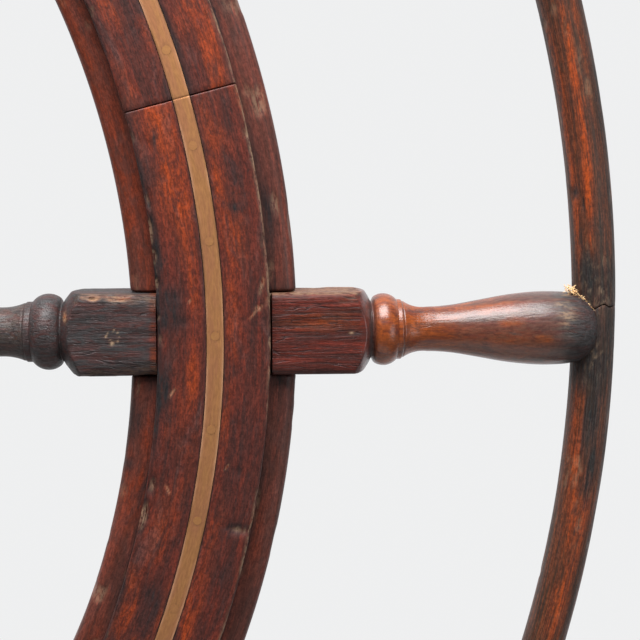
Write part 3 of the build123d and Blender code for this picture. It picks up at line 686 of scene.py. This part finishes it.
def centre_specks(at):
    """A ring of pale specks of old filler in the middle of the block's front face."""
    random = np.random.default_rng(8)
    total = np.zeros_like(at.x)
    count = 8
    for number in range(count):
        turn = 2 * math.pi * (number / count - 0.25) + random.uniform(-0.25, 0.25)
        away = random.uniform(2.7, 3.9)
        size = random.uniform(0.40, 0.58) if number else 0.9
        off = np.hypot(at.x - SPECK_RING - away * math.cos(turn), at.across - away * math.sin(turn))
        total = np.maximum(total, (0.85 if number else 1.0) * bell(off, 0, size))
    return total


# ---- the rim ----
def felloe_limit(radius):
    """Half the angle of a felloe at each radius: it butts against the blocks' sides."""
    return PITCH / 2 - np.degrees(np.arcsin((BLOCK_HALF + SEAM) / radius))


def make_felloe(name, seed, centre, hero, material):
    """One felloe; centre is the angle of its middle, from which the marks are measured."""
    spacing = 1.4 if hero else 3.2
    low, high = FELLOE_FRONT - MIDDLE, FELLOE_REAR - MIDDLE
    rounding = 6.0
    corners = [(FELLOE_IN, low, rounding), (FELLOE_OUT, low, rounding),
               (FELLOE_OUT, high, rounding), (FELLOE_IN, high, rounding)]
    section, normals = outline(corners, spacing)
    theta, radius, depth = sweep(section, normals, felloe_limit, spacing * 1.3, 2.0)
    flow = flow_of(theta, radius, depth, 900.0 * seed)
    dents = patches(flow, (16, 7, 7), 3 + seed, 0.64, 0.82, 2)
    relief = rough(flow, (30, 1.8, 1.8), 13 + seed) - 0.5
    points = bend(theta, radius, depth, normals, inward(0.35 * relief - 0.7 * dents))
    under = np.abs(np.minimum(radius - FACING_IN, FACING_OUT - radius))
    # painted shade: the grime mask darkens the felloe's front and rear faces along the facings' edges, and
    # its ends beside the blocks, in the corners where these stand proud of it
    seam = bell(under, 0, 1.6) * (np.abs(depth) > FELLOE_HALF - 2)
    ends = step(np.abs(theta), 14.4, 15.6)
    grime_and_shade = 0.6 * seam + 0.4 * ends + 0.3 * patches(flow, (50, 9, 9), 23 + seed, 0.48, 0.70)
    side = np.where(radius < RIM_MIDDLE, 1.0, 0.12)
    warm = side * patches(flow, (60, 12, 12), 43 + seed, 0.36, 0.62) * 0.8
    if hero:
        warm = np.maximum(warm, marks_at(theta, radius, centre, FELLOE_GLOWS))
        stain = marks_at(theta, radius, centre, FELLOE_STAINS)
        grime_and_shade = np.maximum(grime_and_shade, stain)
        warm = warm * (1 - stain)
    masks = {"wear_and_sheen": 0.2 * dents, "grime_and_shade": grime_and_shade, "warm": warm, "raw": np.full_like(radius, 0.25)}
    return skin(name, points, flow, masks, material)


# Marks beside spoke_01. Each has a radius and an angle on the wheel, its reach along and across
# the grain, and a strength. The first two tables are for the felloes, the others for the facing.
FELLOE_GLOWS = (
    (436, 12.5, 30, 8, 1.0), (437, 7.0, 26, 7, 0.6), (437, -10.5, 26, 7, 0.8), (439, -6.8, 8, 3, 0.7),
    (508, -12.5, 22, 4, 0.5),
)
FELLOE_STAINS = (
    (507, 7.4, 18, 4.0, 0.95), (506, 10.6, 10, 2.5, 0.6), (432, -6.0, 16, 6, 0.7), (441, -3.6, 12, 5, 0.5),
    (512, -4.0, 20, 6, 0.3), (433, -9.3, 5, 4, 0.7),
)
GLOWS = (
    (460, 13.4, 30, 10, 1.1), (459, 10.6, 24, 9, 1.1), (463, 8.6, 22, 6, 1.0), (463, 6.2, 20, 4.5, 0.8),
    (464, 3.6, 18, 3.2, 0.9), (486, 12.6, 14, 7, 0.7), (483, 9.4, 14, 4, 0.8), (486, 6.4, 20, 7, 0.8),
    (484, 1.2, 24, 4, 0.6), (463, -2.6, 18, 3.4, 0.8), (481, -5.0, 24, 3, 0.5), (456, -13.4, 20, 5, 0.6),
    (484, -12.6, 22, 4, 0.4),
)
STAINS = (
    (492, 10.0, 9, 2.2, 0.85), (490, 7.8, 9, 2.0, 0.7), (494, 13.0, 8, 2.6, 0.7), (447, 5.4, 30, 2.6, 0.85),
    (447, -5.2, 26, 2.6, 0.6), (450.5, 1.8, 12, 5.6, 1.6), (448, -3.4, 17, 4.4, 1.3), (494, -6.4, 22, 5, 0.4),
    (488, -9.5, 16, 4, 0.35), (455, -7.5, 22, 4, 0.3), (450, 10.6, 12, 5, 0.6), (455, 13.2, 10, 3, 0.5),
)
GOUGES = (
    (444.8, 7.2, 8, 2.2, 2.6), (445.0, 5.4, 6, 2.4, 2.4), (444.6, 3.6, 4, 2.2, 2.6), (446, 9.2, 6, 2.0, 1.6),
    (447.5, -10.2, 6, 2.0, 2.2), (445.5, -12.4, 9, 2.6, 3.0), (497, -12.1, 2.6, 6.5, 1.9),
    (452, 12.6, 5, 1.6, 0.9), (503.4, 5.8, 3, 1.2, 0.9), (503.4, -3.2, 3, 1.0, 0.8),
)
# the last number of a scratch is its lean
SCRATCHES = (
    (452.6, -3.8, 2.4, 0.6, 0.5), (456, -10.3, 2.4, 0.6, -0.6), (485, -8.3, 1.6, 0.6, 0.5),
    (499.6, 3.0, 4.0, 0.8, 0.25), (497.6, 1.7, 1.2, 1.6, 0.4), (494.5, 1.3, 2.0, 0.6, 0.8),
    (462, 2.3, 1.0, 0.6, 0.6),
)


def marks_at(theta, across, centre, marks, arm=RIM_MIDDLE):
    """The strongest of several soft oval marks at each point; arm turns angles into lengths.

    across is a radius on the rim, and a direction round the bar in degrees on the hoop."""
    total = np.zeros_like(theta)
    for place_across, degrees, reach_along, reach_across, strength in marks:
        along = bell(np.radians(theta - (degrees - centre)) * arm, 0, reach_along)
        total = np.maximum(total, strength * along * bell(offset(across - place_across), 0, reach_across))
    return total


def scratch_marks(theta, radius, centre):
    """Short leaning scratches."""
    total = np.zeros_like(radius)
    for mark_radius, degrees, along, across, lean in SCRATCHES:
        arc = np.radians(theta - (degrees - centre)) * RIM_MIDDLE
        off = radius - mark_radius - lean * arc
        total = np.maximum(total, bell(arc, 0, along, 4) * bell(off, 0, across))
    return total


def facing_section(front, spacing):
    """Cross-section of a facing; the front one has the groove for the brass strip."""
    arris = 1.2
    top, floor = FACING_TOP, FACING_FLOOR
    corners = [(FACING_IN, top, arris)]
    if front:
        groove = 0.15
        corners += [(INLAY_IN - groove, top, 0.2), (INLAY_IN - groove, INLAY_FLOOR, 0.1),
                    (INLAY_OUT + groove, INLAY_FLOOR, 0.1), (INLAY_OUT + groove, top, 0.2)]
    corners += [(FACING_OUT, top, arris), (FACING_OUT, floor, 0.3), (FACING_IN, floor, 0.3)]
    return outline(corners, spacing)


def make_facing(name, seed, centre, front, hero, material):
    """One facing, made as a front one; centre is the angle of its middle, as for a felloe."""
    spacing = 0.9 if hero else 2.6
    section, normals = facing_section(front, spacing)
    half = 180 / FACING_PIECES - 0.02
    theta, radius, depth = sweep(section, normals, lambda r: np.full_like(r, half), spacing * 1.2, 0.8)
    flow = flow_of(theta, radius, depth, 1300.0 * seed)
    edge = np.minimum(radius - FACING_IN, FACING_OUT - radius)
    top = np.abs(depth - FACING_TOP) < 3.0
    dents = patches(flow, (13, 5, 5), 5 + seed, 0.68, 0.84, 2)
    nicks = patches(flow, (7, 4, 4), 15 + seed, 0.62, 0.8, 2) * bell(edge, 0, 2.0)
    relief = rough(flow, (24, 1.3, 1.3), 25 + seed) - 0.5
    push = 0.22 * relief - 0.35 * dents - 0.9 * nicks
    gouge = np.zeros_like(radius)
    scratches = np.zeros_like(radius)
    glow = patches(flow, (46, 11, 11), 35 + seed, 0.48, 0.70) * 0.8
    stain = patches(flow, (32, 8, 8), 45 + seed, 0.54, 0.76) * 0.6
    if hero:
        gouge = marks_at(theta, radius, centre, GOUGES) * (0.35 + 1.1 * rough(flow, (9, 1.2, 1.2), 7))
        scratches = scratch_marks(theta, radius, centre)
        near = 1 - step(np.abs(theta + centre), 14, 18)
        tear = 0.45 + 1.1 * rough(flow, (20, 4, 4), 65)
        glow = np.maximum(glow * (1 - 0.65 * near), tear * marks_at(theta, radius, centre, GLOWS) * near)
        stain = np.maximum(stain * (1 - 0.6 * near), tear * marks_at(theta, radius, centre, STAINS) * near)
        push = push - gouge - 0.35 * scratches
    brass = np.minimum(np.abs(radius - INLAY_IN), np.abs(radius - INLAY_OUT))
    line = bell(brass, 0, 0.8) * front
    points = bend(theta, radius, depth, normals, inward(push) * top)
    # pale patches on the outer arris of the front face, laid as wear: partly wear and partly a painted
    # highlight along that edge
    arris = bell(radius, FACING_OUT, 0.9) * patches(flow, (20, 4, 4), 55 + seed, 0.35, 0.6) * top
    inner_edge = bell(radius, FACING_IN, 2.4) * patches(flow, (36, 6, 6), 75 + seed, 0.38, 0.6)
    torn = step(gouge, 0.8, 2.2)
    grime_and_shade = stain + 0.75 * line + 0.35 * dents + 0.5 * step(gouge, 0.3, 1.2) + 0.8 * inner_edge
    masks = {"wear_and_sheen": 0.45 * arris + 0.25 * nicks + 0.32 * torn + 0.40 * scratches,
             "grime_and_shade": grime_and_shade * (1 - 0.7 * torn), "warm": np.maximum(glow, scratches),
             "raw": np.full_like(radius, 0.3)}
    return skin(name, points, flow, masks, material)


def make_inlay(name, centre, material):
    """A fifth of the brass strip, with a faint ring round each pin."""
    spacing = 0.9
    rounding = 0.3
    corners = [(INLAY_IN, FACING_TOP, rounding), (INLAY_OUT, FACING_TOP, rounding),
               (INLAY_OUT, INLAY_FLOOR, 0.1), (INLAY_IN, INLAY_FLOOR, 0.1)]
    section, normals = outline(corners, spacing)
    half = 180 / FACING_PIECES - 0.01
    theta, radius, depth = sweep(section, normals, lambda r: np.full_like(r, half), 1.0, 0.3)
    flow = flow_of(theta, radius, depth, 50.0 * centre)
    away = np.hypot(np.radians(offset(theta + centre, PIN_PITCH)) * RIM_MIDDLE, radius - RIM_MIDDLE)
    ring = bell(away, PIN_HEAD + 0.35, 0.45)
    push = -0.10 * rough(flow, (18, 6, 6), 9, 3) - 0.06 * ring
    points = bend(theta, radius, depth, normals, push)
    rim = np.minimum(radius - INLAY_IN, INLAY_OUT - radius)
    clouds = rough(flow, (30, 3, 3), 19)
    edge = bell(rim, 0, 0.5) * (1 - step(clouds, 0.38, 0.5))
    # painted highlight: a pale pinkish band just inside each edge of the strip, laid as wear
    paler_zone = bell(rim, 0.4, 0.6) * step(clouds, 0.42, 0.6)
    masks = {"grime_and_shade": 0.24 * ring + 0.6 * edge, "wear_and_sheen": 0.7 * paler_zone}
    return skin(name, points, flow, masks, material)


# Marks on the two hoop pieces that meet beside spoke_01: direction round the bar (0 is the
# front, 90 the outside), angle on the wheel, reach along, reach round, strength.
HOOP_GLOWS = (
    (-14, 11.0, 44, 12, 1.0), (-14, 8.4, 26, 12, 1.0), (-20, 6.6, 20, 10, 1.0), (15, 9.2, 26, 4, 0.5),
    (-58, 8.6, 70, 18, 0.55), (-20, 4.4, 9, 8, 0.6), (-36, -5.8, 24, 12, 0.9), (-50, -3.9, 22, 15, 0.8),
    (-6, -8.6, 30, 27, 1.1), (-4, -12.5, 44, 20, 0.8), (20, 13.6, 24, 14, 0.6),
)
HOOP_DIPS = ((-61, 6.35, 4.0, 12, 1.0), (-35, 5.8, 5.0, 4.5, 0.9))
HOOP_STAINS = HOOP_DIPS + (
    (-30, 2.4, 20, 40, 1.0), (30, 2.0, 22, 60, 0.8), (-10, -1.6, 20, 80, 1.1), (-8, -4.1, 26, 22, 1.2),
    (8, -6.5, 22, 17, 1.2), (52, 8.5, 120, 24, 0.6), (60, -8.0, 90, 22, 0.6), (-48, 4.2, 10, 10, 0.7),
)
HOOP_SCABS = ((-30, 2.6, 14, 22, 1.0), (10, 1.6, 8, 40, 0.9), (-20, -1.2, 10, 40, 0.7))


def make_hoop(name, seed, centre, hero, material):
    """One piece of the hoop, a bent round bar with slightly ragged ends."""
    around = 72 if hero else 36
    spacing = 1.6 if hero else 4.0
    side = np.linspace(0, 360, around, endpoint=False)      # 0 is the front, 90 the outside
    normals = np.stack([np.sin(np.radians(side)), -np.cos(np.radians(side))], -1)
    section = normals * HOOP_BAR + np.array([HOOP_RADIUS, 0.0])
    ragged = 0.09 * np.sin(np.radians(2 * side + 40)) + 0.07 * np.sin(np.radians(7 * side + 20))
    half = 180 / HOOP_PIECES - 0.02
    theta, radius, depth = sweep(section, normals, lambda r: np.full_like(r, half), spacing, 0.5)
    close = 1 - step(half - np.abs(theta), 0.0, 1.2)
    theta = theta + ragged[None, :] * close
    turn = np.broadcast_to(side[None, :], theta.shape)
    wrap = np.stack([np.radians(theta) * HOOP_RADIUS + 1100.0 * seed,
                     HOOP_BAR * np.sin(np.radians(turn)), HOOP_BAR * np.cos(np.radians(turn))], -1)
    relief = rough(wrap, (34, 1.6, 1.6), 17 + seed) - 0.5
    dents = patches(wrap, (12, 6, 6), 27 + seed, 0.68, 0.84, 2)
    flats = rough(wrap, (120, 14, 14), 37 + seed, 2)
    push = 0.30 * relief - 0.5 * dents - 0.5 * flats
    glow = patches(wrap, (90, 5, 5), 47 + seed, 0.50, 0.66) * 0.8
    stain = patches(wrap, (60, 6, 6), 57 + seed, 0.48, 0.74) * 0.8
    wear_and_sheen = 0.15 * dents
    if hero:
        near = 1 - step(np.abs(theta + centre), 14, 18)
        streak = 0.55 + 0.9 * patches(wrap, (70, 2.0, 2.0), 67, 0.4, 0.6)
        marked = marks_at(theta, turn, centre, HOOP_GLOWS, HOOP_RADIUS) * streak
        glow = np.maximum(glow * (1 - near), marked * near)
        marked = marks_at(theta, turn, centre, HOOP_STAINS, HOOP_RADIUS)
        torn = rough(wrap, (24, 3.5, 3.5), 87) - 0.5
        marked = marked * step(marked + 1.2 * torn, 0.22, 0.55)
        stain = np.maximum(stain * (1 - near), marked * near)
        push = push - 1.2 * marks_at(theta, turn, centre, HOOP_DIPS, HOOP_RADIUS)
        scabs = patches(wrap, (3.4, 1.5, 1.5), 77, 0.54, 0.70)
        wear_and_sheen = np.maximum(wear_and_sheen, 0.32 * scabs * marks_at(theta, turn, centre, HOOP_SCABS, HOOP_RADIUS))
    points = bend(theta, radius, depth, normals, inward(push))
    handle = offset(theta + centre, PITCH)
    stain = np.maximum(stain, 0.8 * bell(handle, 0, 2.2))
    glow = glow * (1 - 0.8 * bell(handle, 0, 2.6))
    masks = {"wear_and_sheen": wear_and_sheen, "grime_and_shade": stain, "warm": glow, "raw": 0.45 + 0.5 * stain}
    return skin(name, points, wrap, masks, material)


# ---- splinters at the handle's end ----
def make_splinters(name, material):
    """Pale torn fibres where the handle of spoke_01 meets the hoop.

    They start in a tuft at the corner above the handle and thin out along the seam; share is
    the place along it, 0 at the tuft. Each one is a thin four-sided spike."""
    random = np.random.default_rng(4)
    points = []
    faces = []
    for number in range(110):
        share = random.random() ** (4.0 if number < 70 else 1.0)
        radius = 667.6 + 11.5 * share + random.normal(0, 1.5 * (1 - share) ** 2 + 0.15)
        across = 21.6 - 4.0 * share - 7.0 * share ** 2 + random.normal(0, 1.5 * (1 - share) ** 2 + 0.15)
        front = -(3.0 + 12.0 * share) + random.normal(0, 1.2) * (1 - share) - 1.0
        lean = math.radians(random.normal(-35, 70 - 50 * share))
        length = random.uniform(1.4, 4.2) * (1.0 - 0.75 * share ** 0.5)
        width = random.uniform(0.3, 0.85) * (1.05 - 0.9 * share ** 0.5)
        along = np.array([math.cos(lean), -0.5 * random.random(), math.sin(lean)]) * length
        cross = np.array([-math.sin(lean), 0.2, math.cos(lean)]) * width
        thick = np.array([0.0, -width, 0.0])
        foot = np.array([radius, front, across])
        first = len(points)
        points += [foot, foot + cross, foot + thick, foot + along]
        faces += [tuple(first + n for n in face) for face in ((0, 1, 2), (0, 3, 1), (1, 3, 2), (2, 3, 0))]
    mesh = bpy.data.meshes.new(name)
    mesh.from_pydata([tuple(np.array(p) * MM) for p in points], [], faces)
    mesh.materials.append(material)
    mesh.transform(Matrix.Translation((0, MIDDLE * MM, 0)))
    piece = add_object(name, mesh)
    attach(piece, WHEEL)


def splinter_material():
    g = new_material("torn_fibres")
    tone = g.noise(g.object_place(), (2, 2, 2), 3.0)
    colour = g.mix(g.spread(tone, 0.35, 0.65), rgb(0.34, 0.17, 0.06), rgb(0.80, 0.55, 0.28))
    return g.finish(colour, 0.8)


# ---- everything in its place ----
SPOKE_WOOD = wood(
    "spoke_wood", rgb(0.058, 0.012, 0.008), rgb(0.125, 0.017, 0.009), warm=rgb(0.23, 0.050, 0.007),
    black=rgb(0.038, 0.037, 0.038), polish=0.40, streak=(60, 4.5, 4.5), fibre=(24, 0.9, 0.9),
    line=0.70, grit=0.22, haze=0.05, coat=0.85, gloss=0.12)
RIM_WOOD = wood(
    "rim_wood", rgb(0.072, 0.024, 0.017), rgb(0.140, 0.034, 0.022), warm=rgb(0.165, 0.024, 0.006),
    black=SOOT, polish=0.45, streak=(60, 5, 5), fibre=(26, 0.9, 0.9),
    line=0.70, grit=0.32, haze=0.2, coat=0.12, gloss=0.20)
FACING_WOOD = wood(
    "facing_wood", rgb(0.055, 0.014, 0.010), rgb(0.105, 0.018, 0.010), warm=rgb(0.265, 0.038, 0.006),
    black=SOOT, polish=0.44, streak=(48, 4, 4), fibre=(22, 0.9, 0.9),
    line=0.72, grit=0.42, haze=0.35, coat=0.10, gloss=0.22)
HOOP_WOOD = wood(
    "hoop_wood", rgb(0.036, 0.018, 0.010), rgb(0.118, 0.032, 0.012), warm=rgb(0.30, 0.047, 0.005),
    black=rgb(0.022, 0.023, 0.022), polish=0.40, streak=(80, 1.8, 1.8), fibre=(34, 0.9, 0.9),
    line=0.9, grit=0.40, haze=0.14, coat=0.3, gloss=0.25)
INLAY_BRASS = metal("inlay_brass", rgb(0.375, 0.174, 0.062), rgb(0.29, 0.122, 0.056), 0.52, 0.6,
                    cell=(26, 5, 5), line=(12, 0.5, 0.5))
PIN_BRASS = metal("pin_brass", rgb(0.40, 0.190, 0.066), rgb(0.32, 0.142, 0.058), 0.50, 0.6)
SCREW_BRASS = metal("screw_brass", rgb(0.45, 0.29, 0.13), rgb(0.20, 0.12, 0.06), 0.42)
HUB_BRASS = metal("hub_brass", rgb(0.70, 0.47, 0.19), rgb(0.36, 0.21, 0.08), 0.26, cell=(22, 22, 22))
BRONZE = metal("bearing_bronze", rgb(0.40, 0.25, 0.11), rgb(0.16, 0.13, 0.08), 0.42, cell=(26, 26, 26))
SLEEVE = metal("sleeve_bronze", rgb(0.52, 0.31, 0.14), rgb(0.28, 0.16, 0.07), 0.30)
STEEL = metal("shaft_steel", rgb(0.48, 0.47, 0.46), rgb(0.22, 0.20, 0.18), 0.30)
NAVE_WOOD = hub_wood("nave_wood", rgb(0.050, 0.016, 0.010), rgb(0.130, 0.028, 0.014), 0.34)
DOWEL_WOOD = hub_wood("dowel_wood", rgb(0.16, 0.09, 0.045), rgb(0.30, 0.18, 0.09), 0.6)

NODE_MATERIALS = (
    (NAVE_WOOD, "nave"),
    (DOWEL_WOOD, "felloe_dowels hoop_dowels"),
    (PIN_BRASS, "inlay_pins"),
    (SCREW_BRASS, "front_facing_screws rear_facing_screws hoop_screws hub_cap_screws sleeve_screws"),
    (HUB_BRASS, "front_hub_plate rear_hub_plate hub_boss hub_cap hub_bolts hub_nuts"),
    (HUB_BRASS, "shaft_nut shaft_washer oil_cup"),
    (BRONZE, "bearing_housing"),
    (SLEEVE, "bearing_sleeve"),
    (STEEL, "wheel_shaft hub_key retaining_collar collar_screw"),
)


def spoke_node(number):
    return "king_spoke" if number == KING_SPOKE else f"spoke_{number:02d}"


def build_wheel():
    """Every wooden piece that shows and the brass strip, in place of their CAD nodes.

    The pieces beside spoke_01 are made finer and get marks of their own (hero)."""
    for index in range(SPOKES):
        number = index + 1
        node = spoke_node(number)
        spoke = make_spoke(node + "_worn", number, node == "king_spoke", number == 1, SPOKE_WOOD)
        place(spoke, index * PITCH, node)
        hero = number in (1, SPOKES)
        centre = offset((index + 0.5) * PITCH)
        felloe = make_felloe(f"felloe_{number:02d}_worn", number, centre, hero, RIM_WOOD)
        place(felloe, (index + 0.5) * PITCH, f"felloe_{number:02d}")

    span = 360 / FACING_PIECES
    for index in range(FACING_PIECES):
        number = index + 1
        centre = offset(FRONT_START + (index + 0.5) * span)
        hero = abs(centre) < span / 2
        facing = make_facing(f"front_facing_{number}_worn", number, centre, True, hero, FACING_WOOD)
        place(facing, centre, f"front_facing_{number}")
        strip = make_inlay(f"brass_strip_{number}", centre, INLAY_BRASS)
        place(strip, centre, "brass_inlay")
        centre = REAR_START + (index + 0.5) * span
        facing = make_facing(f"rear_facing_{number}_worn", number + 8, centre, False, False, FACING_WOOD)
        facing.data.transform(Matrix.Diagonal((1, -1, 1, 1)))
        facing.data.flip_normals()
        place(facing, centre, f"rear_facing_{number}")

    span = 360 / HOOP_PIECES
    for index in range(HOOP_PIECES):
        number = index + 1
        centre = offset(HOOP_START + (index + 0.5) * span)
        hoop = make_hoop(f"hoop_{number}_worn", number, centre, abs(centre) < span, HOOP_WOOD)
        place(hoop, centre, f"hoop_{number}")


def dress_cad_nodes():
    """Gives the CAD's own meshes their materials."""
    for material, names in NODE_MATERIALS:
        for name in names.split():
            mesh = NODES[name].data
            mesh.materials.clear()
            mesh.materials.append(material)


# ---- floor, light and camera ----
def build_floor():
    """A pale round floor below the wheel."""
    radius = 1.25
    gap = 0.35
    low = CAD_BOX[0].z - gap
    angles = np.linspace(0, 2 * math.pi, 96, endpoint=False)
    ring = [(radius * math.cos(angle), radius * math.sin(angle), low) for angle in angles]
    mesh = bpy.data.meshes.new("floor")
    mesh.from_pydata(ring, [], [tuple(range(len(ring)))])
    g = new_material("floor_paint")
    tone = g.noise(g.object_place(), (300, 300, 300), 2.0)
    mesh.materials.append(g.finish(g.mix(tone, rgb(0.50, 0.50, 0.495), rgb(0.55, 0.55, 0.545)), 0.7))
    add_object("floor", mesh)


def build_world():
    """A pale surround; towards the back it is as bright as a white wall, in front it is dimmer."""
    world = bpy.data.worlds.new("studio")
    bpy.context.scene.world = world
    g = Graph(world)
    ahead = g.node("VectorMath", Vector=g.node("TexCoord").outputs["Generated"])
    ahead.operation = "DOT_PRODUCT"
    ahead.inputs[1].default_value = (0.0, 1.0, 0.15)
    strength = g.spread(ahead.outputs["Value"], -0.1, 0.45, 0.17, 0.95)
    lamp = g.node("Background", Color=rgb(0.97, 0.98, 1.0), Strength=strength)
    seen = g.node("Background", Color=rgb(0.86, 0.865, 0.87))
    mix = g.node("MixShader", Fac=g.node("LightPath").outputs["Is Camera Ray"])
    g.link(lamp.outputs[0], mix.inputs[1])
    g.link(seen.outputs[0], mix.inputs[2])
    g.link(mix.outputs[0], g.node("OutputWorld").inputs["Surface"])


def area_light(name, place_at, aim, width, height, power, colour):
    light = bpy.data.lights.new(name, "AREA")
    light.shape = "RECTANGLE"
    light.size, light.size_y = width, height
    light.energy = power
    light.color = colour
    lamp = add_object(name, light)
    lamp.location = place_at
    lamp.rotation_euler = (Vector(aim) - Vector(place_at)).to_track_quat("-Z", "Y").to_euler()


def build_lights():
    """A soft light above the handle of spoke_01 and a weak one from the side."""
    y = MIDDLE * MM
    area_light("window", (0.30, y - 0.61, 1.37), (0.30, y, 0.0), 1.3, 1.0, 72, (1.0, 0.99, 0.99))
    area_light("side_fill", (1.9, y - 1.4, -0.1), (0.45, y, 0.0), 1.0, 1.0, 10, (0.98, 0.99, 1.0))


def build_camera():
    """The camera close to spoke_01, slightly above it and turned a little to its right."""
    data = bpy.data.cameras.new("camera")
    data.sensor_width = 36
    data.lens = 65.8
    data.clip_start = 0.05
    data.dof.use_dof = False
    camera = add_object("camera", data)
    distance = 0.6348                       # in front of the middle of the rim
    tilt_down = math.radians(6.38)
    turn_right = math.radians(3.77)
    camera.location = (0.4893, MIDDLE * MM - distance, 0.0764)
    camera.rotation_euler = (math.radians(90) - tilt_down, 0, -turn_right)
    bpy.context.scene.camera = camera


bpy.context.scene.view_settings.view_transform = "Standard"
build_wheel()
dress_cad_nodes()
make_splinters("torn_fibres", splinter_material())
build_floor()
build_world()
build_lights()
build_camera()

bpy.context.view_layer.update()
